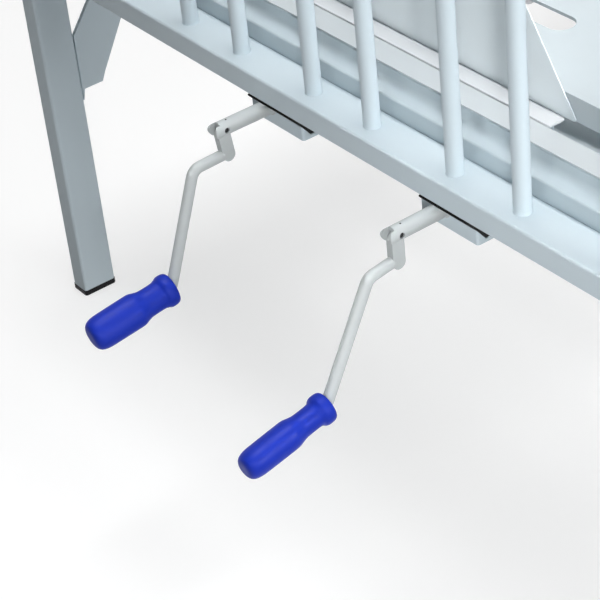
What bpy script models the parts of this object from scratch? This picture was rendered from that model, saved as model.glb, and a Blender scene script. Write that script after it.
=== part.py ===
"""Manual hospital bed with two folding cranks at the foot end.

Metres, +Z up. X runs across the bed, Y from the foot end (-Y) to the head end (+Y).
The pieces are modelled with Y = 0 on the front of the footboard and moved to the
middle of the whole bed at the end.
"""
import math

import bmesh
import bpy
from mathutils import Matrix, Vector

MM = 0.001

# Gaps
FIT = 0.3 * MM                 # left between pieces that touch
PLAY = 2.0 * MM                # between parts that swing past each other
LEVER_PLAY = 1.8 * MM          # each side of a lever pin in its yoke

# Overall
BED_WIDTH = 1000 * MM
BED_LENGTH = 2060 * MM         # over the two end frames, without the cranks
FOOT_HEIGHT = 800 * MM
HEAD_HEIGHT = 950 * MM

# End frames of rectangular tube
TUBE_NARROW = 24 * MM          # leg width across the bed
TUBE_WIDE = 38 * MM            # leg and rail depth along the bed
TUBE_WALL = 1.5 * MM
CAP_HEIGHT = 5 * MM
CAP_PLUG = 18 * MM
RAIL_BOTTOM = 397 * MM
RAIL_HEIGHT = 22 * MM
SPINDLE_DIAMETER = 14.5 * MM
SPINDLE_PAIR = 77 * MM         # between the two spindles of a pair
SPINDLE_EDGE = 119 * MM        # from a leg to the middle of the outermost pair
SPINDLE_PAIRS = 5

# Side rails and cross members
SIDE_RAIL_HEIGHT = 48 * MM
SIDE_RAIL_RISE = 1 * MM        # its underside above that of the end rails
SIDE_RAIL_WALL = 2 * MM
MEMBER_SHEET = 2.5 * MM        # the stepped foot cross member is bent from this
MEMBER_GAP = 6.5 * MM          # behind the footboard's legs
MEMBER_SKIRT = 32.5 * MM       # height of the front under the ledge
MEMBER_LEDGE_DEPTH = 13.5 * MM
MEMBER_STEP = 17 * MM          # from the ledge up to the top
MEMBER_SHELF = 39 * MM         # depth of the top
MEMBER_FILLET = 8 * MM
MEMBER_LIP = 22 * MM
STRIP_WIDTH = 360 * MM
STRIP_DEPTH = 16 * MM
STRIP_THICKNESS = 2.2 * MM
CROSS_HEIGHT = 30 * MM
SEAT_CROSS_DEPTH = 25 * MM
HEAD_CROSS_DEPTH = 40 * MM
CROSS_WALL = 2 * MM
SEAT_CROSS_AT = 83 * MM        # behind the thigh hinge
HEAD_CROSS_GAP = 97 * MM       # from the headboard's legs to its near face

# Leg braces, cut from plate
BRACE_THICKNESS = 5 * MM
BRACE_TOE = 226 * MM           # height of the lowest point, on the leg
BRACE_FOOT = 239 * MM          # height of the level lower edge
BRACE_FOOT_LENGTH = 25 * MM
BRACE_REACH = 112 * MM         # from the leg to the far corner under the side rail
BRACE_BAR = 40 * MM            # width where it meets the side rail
BRACE_HEEL = 74 * MM           # height welded to the leg

# Platform sections
SHEET = 3 * MM
PLATFORM_TOP = 470 * MM
FLANGE_DEPTH = 22 * MM
FLANGE_INSET = 0.3 * MM
FLANGE_PLAY = 1.4 * MM         # between flanges that pass each other
ROD_DIAMETER = 10 * MM
ROD_END = 1.5 * MM             # rod ends short of the side rails
ROD_PROUD = 3 * MM             # knee rod beyond the thigh section
EYE_GAP = 0.4 * MM             # between a hinge eye and the sheet above it
HINGE_DROP = 11 * MM           # hinge axes below the platform's top
KNEE_HINGE_Y = 562 * MM
THIGH_LENGTH = 340 * MM        # between hinge axes
SEAT_LENGTH = 250 * MM         # between hinge axes
BACK_GAP = 47 * MM             # from the back section's end to the headboard's legs
EDGE_NEAR = 2 * MM             # a swinging sheet's edge from its hinge axis
EDGE_FAR = 12 * MM             # the fixed seat's edge from the axis
RELIEF = 34 * MM               # corner cut-back, from the hinge axis
SLOT_WIDTH = 26 * MM
SLOT_LENGTH = 210 * MM
SLOT_COLUMNS = 3
SLOT_PITCH_X = 270 * MM
SLOT_PITCH_Y = 78 * MM
SLOT_MARGIN = 62 * MM
RAIL_EAR_WIDTH = 6 * MM
RAIL_EAR_LENGTH = 36 * MM
RAIL_EAR_DEPTH = 24 * MM       # below the side rail's top
RAIL_EAR_RIM = 4 * MM          # above the hinge rod

# Mattress stop on the calf section
STOP_BOTTOM_WIDTH = 380 * MM
STOP_TOP_WIDTH = 270 * MM
STOP_HEIGHT = 82 * MM
STOP_THICKNESS = 2.5 * MM

# Rollers at the calf section's foot end
ROLLER_Y = 150 * MM
ROLLER_DIAMETER = 26 * MM
ROLLER_WIDTH = 17 * MM
AXLE_DIAMETER = 8 * MM
AXLE_HEAD = 12 * MM
AXLE_HEAD_WIDTH = 1.4 * MM

# Crank shafts and their brackets
BACK_CRANK_X = -92 * MM
KNEE_CRANK_X = 134.5 * MM
SHAFT_DROP = 9 * MM            # shaft axis below the end rail
SHAFT_DIAMETER = 13.8 * MM
SHAFT_FLANGE = 16 * MM
SHAFT_FLANGE_WIDTH = 1.6 * MM
SHAFT_COLLAR = 18 * MM
SHAFT_COLLAR_WIDTH = 5.4 * MM
SCREW_TAIL = 20 * MM           # screw beyond the nut at the end of its travel
BRACKET_LEFT = 30.5 * MM       # from the shaft axis to the bracket's near end
BRACKET_FRONT = 11 * MM        # set back under the rail
BRACKET_WIDTH = 73 * MM
BRACKET_HEIGHT = 27.5 * MM     # below the rail
BRACKET_WALL = 13 * MM         # height of its front and side walls
BRACKET_SHEET = 2.5 * MM
BRACKET_CORNER = 3 * MM

# Folding crank arms
PIN_DIAMETER = 4.5 * MM
PIN_RECESS = 1 * MM            # pin ends inside the shaft's surface
PIN_SETBACK = 11 * MM          # behind the shaft's end
FORK_SLOT_TOP = 4.4 * MM       # slot's roof above the shaft axis
FORK_OPEN = 6 * MM             # at the end the slot is open above as well
KNUCKLE_THICKNESS = 7.4 * MM
KNUCKLE_FRONT = 8 * MM         # from the pin towards the foot
KNUCKLE_EYE = 3.9 * MM         # round the pin
KNUCKLE_LENGTH = 31.5 * MM
KNUCKLE_ROD_DROP = 24.5 * MM    # from the pin to the rod
KNUCKLE_ROD_SINK = 1 * MM      # rod set into the plate's front edge
CRANK_ROD_DIAMETER = 10 * MM
CRANK_BEND = 10 * MM           # where the rod turns down
GRIP_BEND = 7 * MM             # where it turns into the grip
BACK_CRANK = {"reach": 51 * MM, "fold": 7.0, "stub": 30.3 * MM, "stub_fall": 2.0, "lean": 20.3}
BACK_CRANK.update({"drop": 128 * MM, "grip_fall": 7.3, "grip_roll": -49.5})
KNEE_CRANK = {"reach": 48.3 * MM, "fold": 0.0, "stub": 24.1 * MM, "stub_fall": 8.0, "lean": 28.0}
KNEE_CRANK.update({"drop": 124.3 * MM, "grip_fall": 12.4, "grip_roll": 47.8})
GRIP_LENGTH = 85 * MM
GRIP_LEAD = 4 * MM              # grip starts this far before the end of the rod's bend
GRIP_FLARE = 5.4 * MM           # its bore opens by this much for the bend
GRIP_DIAMETER = 28 * MM
GRIP_NECK = 22.7 * MM
GRIP_COLLAR = 28.4 * MM
GRIP_COLLAR_LENGTH = 12.5 * MM
GRIP_NECK_END = 28 * MM
GRIP_SHOULDER_AT = 38 * MM
GRIP_OVAL = 0.10               # wider one way and narrower the other by this share
GRIP_COLLAR_OVAL = 0.055
GRIP_WALL = 10 * MM            # plastic beyond the rod's end

# Travelling nuts, push tubes and levers
BACK_RAISE = 70.0
KNEE_RAISE = 40.0
BACK_TRAVEL = 128 * MM
KNEE_TRAVEL = 80 * MM
NUT_Y = 300 * MM
NUT_DIAMETER = 30 * MM
NUT_LENGTH = 32 * MM
PUSH_DIAMETER = 22 * MM
PUSH_BORE = 15.4 * MM
YOKE_THICKNESS = 10 * MM
YOKE_WIDTH = 30 * MM
YOKE_RISE = 3 * MM             # above the push tube
YOKE_MARGIN = 6 * MM
LEVER_PIN = 10 * MM
LEVER_THICKNESS = 6 * MM
LEVER_EYE = 11 * MM
LEVER_NEAR = 20 * MM           # weld on the sheet starts this far from the hinge
LEVER_FAR = 130 * MM

ROUND = 20                     # facets of a round bar
FINE = 24                      # facets of crank parts

# Worked out from the sizes above
LEG_INNER = BED_WIDTH / 2 - TUBE_NARROW
RAIL_TOP = RAIL_BOTTOM + RAIL_HEIGHT
SPINDLE_STEP = 2 * (LEG_INNER - SPINDLE_EDGE) / (SPINDLE_PAIRS - 1)
HEAD_INNER = BED_LENGTH - TUBE_WIDE
SIDE_RAIL_BOTTOM = RAIL_BOTTOM + SIDE_RAIL_RISE
SIDE_RAIL_TOP = SIDE_RAIL_BOTTOM + SIDE_RAIL_HEIGHT
SHEET_UNDER = PLATFORM_TOP - SHEET
FLANGE_BOTTOM = PLATFORM_TOP - FLANGE_DEPTH
HINGE_Z = PLATFORM_TOP - HINGE_DROP
EAR_RADIUS = HINGE_DROP - SHEET - EYE_GAP
RAIL_EAR_BOTTOM = SIDE_RAIL_TOP - RAIL_EAR_DEPTH
RAIL_EAR_TOP = HINGE_Z + ROD_DIAMETER / 2 + RAIL_EAR_RIM
SWING_HALF_WIDTH = LEG_INNER - RAIL_EAR_WIDTH - 2 * PLAY
SEAT_HALF_WIDTH = SWING_HALF_WIDTH - FLANGE_INSET - SHEET - FLANGE_PLAY
RELIEF_X = SEAT_HALF_WIDTH - FLANGE_INSET - SHEET - PLAY
MEMBER_FRONT = TUBE_WIDE + MEMBER_GAP
MEMBER_RISER = MEMBER_FRONT + MEMBER_LEDGE_DEPTH
MEMBER_BACK = MEMBER_RISER + MEMBER_SHELF
MEMBER_TOP = FLANGE_BOTTOM
MEMBER_LEDGE = MEMBER_TOP - MEMBER_STEP
MEMBER_BOTTOM = MEMBER_LEDGE - MEMBER_SKIRT
CALF_END_Y = MEMBER_BACK + FIT + PLAY + STOP_THICKNESS + FIT
THIGH_HINGE_Y = KNEE_HINGE_Y + THIGH_LENGTH
BACK_HINGE_Y = THIGH_HINGE_Y + SEAT_LENGTH
BACK_END_Y = HEAD_INNER - BACK_GAP
SEAT_CROSS_Y = THIGH_HINGE_Y + SEAT_CROSS_AT
HEAD_CROSS_Y = HEAD_INNER - HEAD_CROSS_GAP
ROLLER_Z = SIDE_RAIL_TOP + FIT + ROLLER_DIAMETER / 2
SHAFT_Z = RAIL_BOTTOM - SHAFT_DROP
BRACKET_BOTTOM = RAIL_BOTTOM - BRACKET_HEIGHT
BRACKET_RIM = BRACKET_BOTTOM + BRACKET_WALL
PIN_LENGTH = SHAFT_DIAMETER - 2 * PIN_RECESS
FORK_WIDTH = KNUCKLE_THICKNESS + 2 * FIT
BACK_LEVER = BACK_TRAVEL / 2 / math.sin(math.radians(BACK_RAISE / 2))
KNEE_LEVER = KNEE_TRAVEL / 2 / math.sin(math.radians(KNEE_RAISE / 2))
BACK_SCREW_END = NUT_Y + NUT_LENGTH + BACK_TRAVEL + SCREW_TAIL
KNEE_SCREW_END = NUT_Y + NUT_LENGTH + SCREW_TAIL
YOKE_TOP = SHAFT_Z + PUSH_DIAMETER / 2 + YOKE_RISE

FINISHES = {
    "frame_paint": ((0.60, 0.69, 0.74), 0.36, 0.0),
    "panel_paint": ((0.68, 0.70, 0.72), 0.40, 0.0),
    "crank_paint": ((0.66, 0.70, 0.71), 0.35, 0.0),
    "zinc_steel": ((0.55, 0.56, 0.58), 0.32, 1.0),
    "cap_black": ((0.015, 0.015, 0.016), 0.55, 0.0),
    "grip_blue": ((0.02, 0.04, 0.50), 0.28, 0.0),
    "roller_nylon": ((0.80, 0.80, 0.77), 0.5, 0.0),
}


def clear_scene():
    for obj in list(bpy.data.objects):
        bpy.data.objects.remove(obj, do_unlink=True)


def finish(name):
    """The material of that name, made on first use."""
    mat = bpy.data.materials.get(name)
    if mat is None:
        mat = bpy.data.materials.new(name)
        mat.use_nodes = True
        colour, roughness, metallic = FINISHES[name]
        shader = mat.node_tree.nodes["Principled BSDF"]
        shader.inputs["Base Color"].default_value = (*colour, 1.0)
        shader.inputs["Roughness"].default_value = roughness
        shader.inputs["Metallic"].default_value = metallic
    return mat


def new_object(name, bm, paint):
    """One named object from a bmesh, with its faces turned outwards."""
    bmesh.ops.recalc_face_normals(bm, faces=bm.faces)
    mesh = bpy.data.meshes.new(name)
    bm.to_mesh(mesh)
    bm.free()
    mesh.materials.append(finish(paint))
    obj = bpy.data.objects.new(name, mesh)
    bpy.context.scene.collection.objects.link(obj)
    return obj


def skin_rings(bm, rings, closed=False):
    """Quads between rings of equal length; the ends are capped unless closed."""
    loops = [[bm.verts.new(p) for p in ring] for ring in rings]
    count = len(loops[0])
    pairs = list(zip(loops, loops[1:]))
    if closed:
        pairs.append((loops[-1], loops[0]))
    for low, high in pairs:
        for i in range(count):
            j = (i + 1) % count
            bm.faces.new((low[i], low[j], high[j], high[i]))
    if not closed:
        bm.faces.new(loops[0])
        bm.faces.new(loops[-1])


def box(name, low, high, paint="frame_paint"):
    bm = bmesh.new()
    x0, y0, z0 = low
    x1, y1, z1 = high
    rings = [[(x0, y0, z), (x1, y0, z), (x1, y1, z), (x0, y1, z)] for z in (z0, z1)]
    skin_rings(bm, rings)
    return new_object(name, bm, paint)


def rect_tube(name, low, high, along, wall, paint="frame_paint"):
    """Rectangular tube, open at both ends, running along axis 0, 1 or 2."""
    bm = bmesh.new()
    a, b = [i for i in range(3) if i != along]

    def ring(inset, at):
        corners = []
        for u, v in ((0, 0), (1, 0), (1, 1), (0, 1)):
            p = [0.0, 0.0, 0.0]
            p[along] = at
            p[a] = (high[a] - inset) if u else (low[a] + inset)
            p[b] = (high[b] - inset) if v else (low[b] + inset)
            corners.append(p)
        return corners

    ends = (low[along], high[along])
    rings = [ring(0, ends[0]), ring(0, ends[1]), ring(wall, ends[1]), ring(wall, ends[0])]
    skin_rings(bm, rings, closed=True)
    return new_object(name, bm, paint)


def prism(name, outline, along, low, high, paint="frame_paint"):
    """A closed outline in the other two axes, carried from low to high along one axis."""
    bm = bmesh.new()
    a, b = [i for i in range(3) if i != along]
    rings = []
    for at in (low, high):
        ring = []
        for u, v in outline:
            p = [0.0, 0.0, 0.0]
            p[along] = at
            p[a] = u
            p[b] = v
            ring.append(p)
        rings.append(ring)
    skin_rings(bm, rings)
    return new_object(name, bm, paint)


def arc(centre, radius, start, end, steps):
    """Points on an arc, angles in degrees, both ends included."""
    points = []
    for i in range(steps + 1):
        turn = math.radians(start + (end - start) * i / steps)
        points.append((centre[0] + radius * math.cos(turn), centre[1] + radius * math.sin(turn)))
    return points


def lathe(name, profile, base, direction, facets, paint):
    """Turns (radius, distance) points about a line; points on the line close the ends."""
    bm = bmesh.new()
    spin = Vector((0, 0, 1)).rotation_difference(Vector(direction)).to_matrix().to_4x4()
    place = Matrix.Translation(base) @ spin
    rings = []
    for radius, along in profile:
        if radius == 0:
            rings.append([bm.verts.new(place @ Vector((0, 0, along)))])
            continue
        ring = []
        for i in range(facets):
            turn = 2 * math.pi * i / facets
            point = Vector((radius * math.cos(turn), radius * math.sin(turn), along))
            ring.append(bm.verts.new(place @ point))
        rings.append(ring)
    pairs = list(zip(rings, rings[1:]))
    if len(rings[0]) > 1:
        pairs.append((rings[-1], rings[0]))
    for low, high in pairs:
        for i in range(facets):
            j = (i + 1) % facets
            quad = [low[i % len(low)], low[j % len(low)], high[j % len(high)], high[i % len(high)]]
            bm.faces.new(list(dict.fromkeys(quad)))
    return new_object(name, bm, paint)


def bar(name, start, end, diameter, facets=ROUND, paint="frame_paint"):
    """A solid round bar between two points."""
    length = (Vector(end) - Vector(start)).length
    radius = diameter / 2
    profile = [(0, 0), (radius, 0), (radius, length), (0, length)]
    return lathe(name, profile, start, Vector(end) - Vector(start), facets, paint)


def ring_roller(name, start, end, diameter, bore, facets, paint):
    """A round body with a through bore."""
    length = (Vector(end) - Vector(start)).length
    edge = 0.12 * length
    outer = diameter / 2
    profile = [
        (bore / 2, 0),
        (outer - edge, 0),
        (outer, edge),
        (outer, length - edge),
        (outer - edge, length),
        (bore / 2, length),
    ]
    return lathe(name, profile, start, Vector(end) - Vector(start), facets, paint)


def bent_rod(name, x, path, diameter, facets, paint):
    """A round rod along points of the YZ plane at x."""
    bm = bmesh.new()
    rings = []
    for i, point in enumerate(path):
        before = Vector(path[max(i - 1, 0)])
        after = Vector(path[min(i + 1, len(path) - 1)])
        heading = (after - before).normalized()
        side = Vector((-heading.y, heading.x))
        ring = []
        for k in range(facets):
            turn = 2 * math.pi * k / facets
            across = diameter / 2 * math.cos(turn)
            sideways = diameter / 2 * math.sin(turn)
            centre = Vector(point) + side * sideways
            ring.append((x + across, centre.x, centre.y))
        rings.append(ring)
    skin_rings(bm, rings)
    return new_object(name, bm, paint)


def drill(obj, centre, diameter, facets=ROUND, reach=10 * MM):
    """A round hole across the bed, through obj at centre."""
    x, y, z = centre
    hole = bar("hole", (x - reach, y, z), (x + reach, y, z), diameter, facets)
    return cut(obj, hole)


def combine(obj, others, operation):
    """Boolean of obj with each other object, kept as a plain mesh."""
    for other in others:
        mod = obj.modifiers.new("combine", "BOOLEAN")
        mod.operation = operation
        mod.solver = "EXACT"
        mod.object = other
        bpy.context.view_layer.update()
        graph = bpy.context.evaluated_depsgraph_get()
        mesh = bpy.data.meshes.new_from_object(obj.evaluated_get(graph))
        obj.modifiers.clear()
        old = obj.data
        obj.data = mesh
        bpy.data.meshes.remove(old)
        bpy.data.objects.remove(other, do_unlink=True)
    bm = bmesh.new()
    bm.from_mesh(obj.data)
    bmesh.ops.remove_doubles(bm, verts=bm.verts, dist=1e-6)
    bmesh.ops.dissolve_limit(bm, angle_limit=0.002, verts=bm.verts, edges=bm.edges)
    bmesh.ops.triangulate(bm, faces=[f for f in bm.faces if len(f.verts) > 4])
    bm.to_mesh(obj.data)
    bm.free()
    paint = obj.data.materials[0]
    obj.data.materials.clear()
    obj.data.materials.append(paint)
    obj.data.polygons.foreach_set("material_index", [0] * len(obj.data.polygons))
    obj.data.name = obj.name
    return obj


def union(obj, *others):
    return combine(obj, others, "UNION")


def cut(obj, *others):
    return combine(obj, others, "DIFFERENCE")


def set_origin(obj, point):
    """Puts the object's origin on its joint axis without moving its shape."""
    obj.data.transform(Matrix.Translation(-Vector(point)))
    obj.location = point
    return obj


def spindle_places():
    """X of every spindle: pairs set out evenly about the middle of the bed."""
    places = []
    for pair in range(SPINDLE_PAIRS):
        middle = (pair - (SPINDLE_PAIRS - 1) / 2) * SPINDLE_STEP
        places += [middle - SPINDLE_PAIR / 2, middle + SPINDLE_PAIR / 2]
    return places


def end_frame(end, front, height):
    """Legs, caps, rails and spindles of one end; the head end's spindles are one comb."""
    back = front + TUBE_WIDE
    top_rail = height - RAIL_HEIGHT
    for side, sign in (("left", -1), ("right", 1)):
        x0, x1 = sorted((sign * LEG_INNER, sign * BED_WIDTH / 2))
        low = (x0, front, CAP_HEIGHT + FIT)
        high = (x1, back, top_rail - FIT)
        rect_tube(f"{end}_leg_{side}", low, high, 2, TUBE_WALL)
        bm = bmesh.new()
        plug = TUBE_WALL + FIT
        rings = []
        for inset, z in ((0, 0), (0, CAP_HEIGHT), (plug, CAP_HEIGHT), (plug, CAP_HEIGHT + CAP_PLUG)):
            corners = [(x0 + inset, front + inset), (x1 - inset, front + inset)]
            corners += [(x1 - inset, back - inset), (x0 + inset, back - inset)]
            rings.append([(x, y, z) for x, y in corners])
        skin_rings(bm, rings)
        new_object(f"{end}_leg_cap_{side}", bm, "cap_black")
    half = BED_WIDTH / 2
    rect_tube(f"{end}_top_rail", (-half, front, top_rail), (half, back, height), 0, TUBE_WALL)
    low = (-LEG_INNER + FIT, front, RAIL_BOTTOM)
    high = (LEG_INNER - FIT, back, RAIL_TOP)
    lower = rect_tube(f"{end}_lower_rail", low, high, 0, TUBE_WALL)
    middle = front + TUBE_WIDE / 2
    combed = end == "head"
    sink = TUBE_WALL / 2 if combed else -FIT
    for number, x in enumerate(spindle_places(), 1):
        foot = (x, middle, RAIL_TOP - sink)
        top = (x, middle, top_rail - FIT)
        spindle = bar(f"{end}_spindle_{number:02d}", foot, top, SPINDLE_DIAMETER)
        if combed:
            union(lower, spindle)


def leg_braces():
    """Plate braces from the back of each leg up to the side rail."""
    top = SIDE_RAIL_BOTTOM - FIT
    foot_end = TUBE_WIDE + BRACE_FOOT_LENGTH
    outline = [
        (TUBE_WIDE + FIT, BRACE_TOE),
        (TUBE_WIDE + 3 * MM, BRACE_FOOT),
        (foot_end, BRACE_FOOT),
        (foot_end + 4 * MM, BRACE_FOOT + 9 * MM),
        (TUBE_WIDE + BRACE_REACH, top),
        (TUBE_WIDE + BRACE_REACH - BRACE_BAR, top),
        (TUBE_WIDE + FIT, BRACE_TOE + BRACE_HEEL),
    ]
    head_outline = [(BED_LENGTH - y, z) for y, z in reversed(outline)]
    for end, shape in (("foot", outline), ("head", head_outline)):
        for side, sign in (("left", -1), ("right", 1)):
            x0, x1 = sorted((sign * LEG_INNER, sign * (LEG_INNER + BRACE_THICKNESS)))
            prism(f"{end}_leg_brace_{side}", shape, 0, x0, x1)


def side_rails():
    """Side rails from leg to leg, and the ears inside them that carry the fixed hinge rods."""
    for side, sign in (("left", -1), ("right", 1)):
        x0, x1 = sorted((sign * LEG_INNER, sign * BED_WIDTH / 2))
        low = (x0, TUBE_WIDE + FIT, SIDE_RAIL_BOTTOM)
        high = (x1, HEAD_INNER - FIT, SIDE_RAIL_TOP)
        rect_tube(f"side_rail_{side}", low, high, 1, SIDE_RAIL_WALL)
        inner = sign * (LEG_INNER - RAIL_EAR_WIDTH)
        outer = sign * (LEG_INNER - FIT)
        e0, e1 = sorted((inner, outer))
        half = RAIL_EAR_LENGTH / 2
        for section, hinge in (("thigh", THIGH_HINGE_Y), ("back", BACK_HINGE_Y)):
            shape = [
                (hinge - half, RAIL_EAR_BOTTOM),
                (hinge + half, RAIL_EAR_BOTTOM),
                (hinge + half, SIDE_RAIL_TOP),
                (hinge + half / 2, RAIL_EAR_TOP),
                (hinge - half / 2, RAIL_EAR_TOP),
                (hinge - half, SIDE_RAIL_TOP),
            ]
            ear = prism(f"{section}_hinge_ear_{side}", shape, 0, e0, e1)
            drill(ear, (inner, hinge, HINGE_Z), ROD_DIAMETER + 2 * FIT)


def cross_members():
    """Stepped foot member with its rest strip, seat cross rail and head cross member."""
    reach = LEG_INNER - FIT
    t = MEMBER_SHEET
    fillet = (MEMBER_RISER - MEMBER_FILLET, MEMBER_LEDGE + MEMBER_FILLET)
    outer = [(MEMBER_FRONT, MEMBER_BOTTOM), (MEMBER_FRONT, MEMBER_LEDGE)]
    outer += arc(fillet, MEMBER_FILLET, -90, 0, 5)
    outer += [(MEMBER_RISER, MEMBER_TOP), (MEMBER_BACK, MEMBER_TOP)]
    outer += [(MEMBER_BACK, MEMBER_TOP - MEMBER_LIP)]
    inner = [(MEMBER_FRONT + t, MEMBER_BOTTOM), (MEMBER_FRONT + t, MEMBER_LEDGE - t)]
    inner += arc(fillet, MEMBER_FILLET + t, -90, 0, 5)
    inner += [(MEMBER_RISER + t, MEMBER_TOP - t), (MEMBER_BACK - t, MEMBER_TOP - t)]
    inner += [(MEMBER_BACK - t, MEMBER_TOP - MEMBER_LIP)]
    prism("foot_cross_member", outer + inner[::-1], 0, -reach, reach)
    half = STRIP_WIDTH / 2
    low = (-half, MEMBER_BACK - STRIP_DEPTH, MEMBER_TOP + FIT)
    high = (half, MEMBER_BACK, MEMBER_TOP + FIT + STRIP_THICKNESS)
    box("foot_rest_strip", low, high, "panel_paint")
    top = FLANGE_BOTTOM - FIT
    for name, y, depth in (("seat_cross_rail", SEAT_CROSS_Y, SEAT_CROSS_DEPTH),
                           ("head_cross_member", HEAD_CROSS_Y, HEAD_CROSS_DEPTH)):
        low = (-reach, y, top - CROSS_HEIGHT)
        rect_tube(name, low, (reach, y + depth, top), 0, CROSS_WALL)


def slotted_sheet(name, half_width, y0, y1):
    """A flat sheet with rows of rectangular slots, built cell by cell."""
    rows = int((y1 - y0 - 2 * SLOT_MARGIN) / SLOT_PITCH_Y) + 1
    first = (y0 + y1) / 2 - (rows - 1) / 2 * SLOT_PITCH_Y
    xs = [-half_width]
    for column in range(SLOT_COLUMNS):
        middle = (column - (SLOT_COLUMNS - 1) / 2) * SLOT_PITCH_X
        xs += [middle - SLOT_LENGTH / 2, middle + SLOT_LENGTH / 2]
    xs.append(half_width)
    ys = [y0]
    for row in range(rows):
        middle = first + row * SLOT_PITCH_Y
        ys += [middle - SLOT_WIDTH / 2, middle + SLOT_WIDTH / 2]
    ys.append(y1)
    bm = bmesh.new()
    under = [[bm.verts.new((x, y, SHEET_UNDER)) for y in ys] for x in xs]
    over = [[bm.verts.new((x, y, PLATFORM_TOP)) for y in ys] for x in xs]

    def filled(i, j):
        inside = 0 <= i < len(xs) - 1 and 0 <= j < len(ys) - 1
        return inside and not (i % 2 == 1 and j % 2 == 1)

    for i in range(len(xs) - 1):
        for j in range(len(ys) - 1):
            if not filled(i, j):
                continue
            for layer in (under, over):
                bm.faces.new((layer[i][j], layer[i + 1][j], layer[i + 1][j + 1], layer[i][j + 1]))
            edges = (
                ((i, j), (i + 1, j), filled(i, j - 1)),
                ((i + 1, j), (i + 1, j + 1), filled(i + 1, j)),
                ((i + 1, j + 1), (i, j + 1), filled(i, j + 1)),
                ((i, j + 1), (i, j), filled(i - 1, j)),
            )
            for (a, b), (c, d), joined in edges:
                if not joined:
                    bm.faces.new((under[a][b], under[c][d], over[c][d], over[a][b]))
    return new_object(name, bm, "panel_paint")


def flange_outline(y0, y1, eyes):
    """Side flange in the YZ plane, with an eye round each hinge axis in eyes."""
    top = SHEET_UNDER + SHEET / 2
    taper = 2 * EAR_RADIUS
    outline = []
    low_start, low_end = y0, y1
    if eyes[0] is not None:
        outline += arc((eyes[0], HINGE_Z), EAR_RADIUS, 90, 270, 8)
        low_start = eyes[0] + taper
    outline.append((low_start, FLANGE_BOTTOM))
    if eyes[1] is not None:
        low_end = eyes[1] - taper
        outline.append((low_end, FLANGE_BOTTOM))
        outline += arc((eyes[1], HINGE_Z), EAR_RADIUS, -90, 90, 8)
    else:
        outline.append((low_end, FLANGE_BOTTOM))
    outline += [(y1, top), (y0, top)]
    return outline


def panel(name, half_width, y0, y1, eyes, end_flange=None, relief=None):
    """A slotted sheet with turned-down side flanges that carry its hinge eyes.

    relief is the stretch of Y over which the sheet's corners are cut back, clear of the
    flanges of the fixed section that it swings past.
    """
    sheet = slotted_sheet(name, half_width, y0, y1)
    if relief is not None:
        for sign in (-1, 1):
            a, b = sorted((sign * RELIEF_X, sign * (half_width + 0.01)))
            corner = box("corner", (a, relief[0], SHEET_UNDER - 0.01), (b, relief[1], PLATFORM_TOP + 0.01))
            cut(sheet, corner)
    outline = flange_outline(y0 + FLANGE_INSET, y1 - FLANGE_INSET, eyes)
    for sign in (-1, 1):
        a = sign * (half_width - FLANGE_INSET)
        b = sign * (half_width - FLANGE_INSET - SHEET)
        flange = prism("flange", outline, 0, min(a, b), max(a, b))
        union(sheet, flange)
        for eye in eyes:
            if eye is not None:
                drill(sheet, (a, eye, HINGE_Z), ROD_DIAMETER + 2 * FIT)
    if end_flange is not None:
        far = end_flange
        near = far + SHEET if far < (y0 + y1) / 2 else far - SHEET
        reach = half_width - FLANGE_INSET - SHEET / 2
        low = (-reach, min(near, far), FLANGE_BOTTOM)
        high = (reach, max(near, far), SHEET_UNDER + SHEET / 2)
        union(sheet, box("end_flange", low, high))
    return sheet


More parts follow.
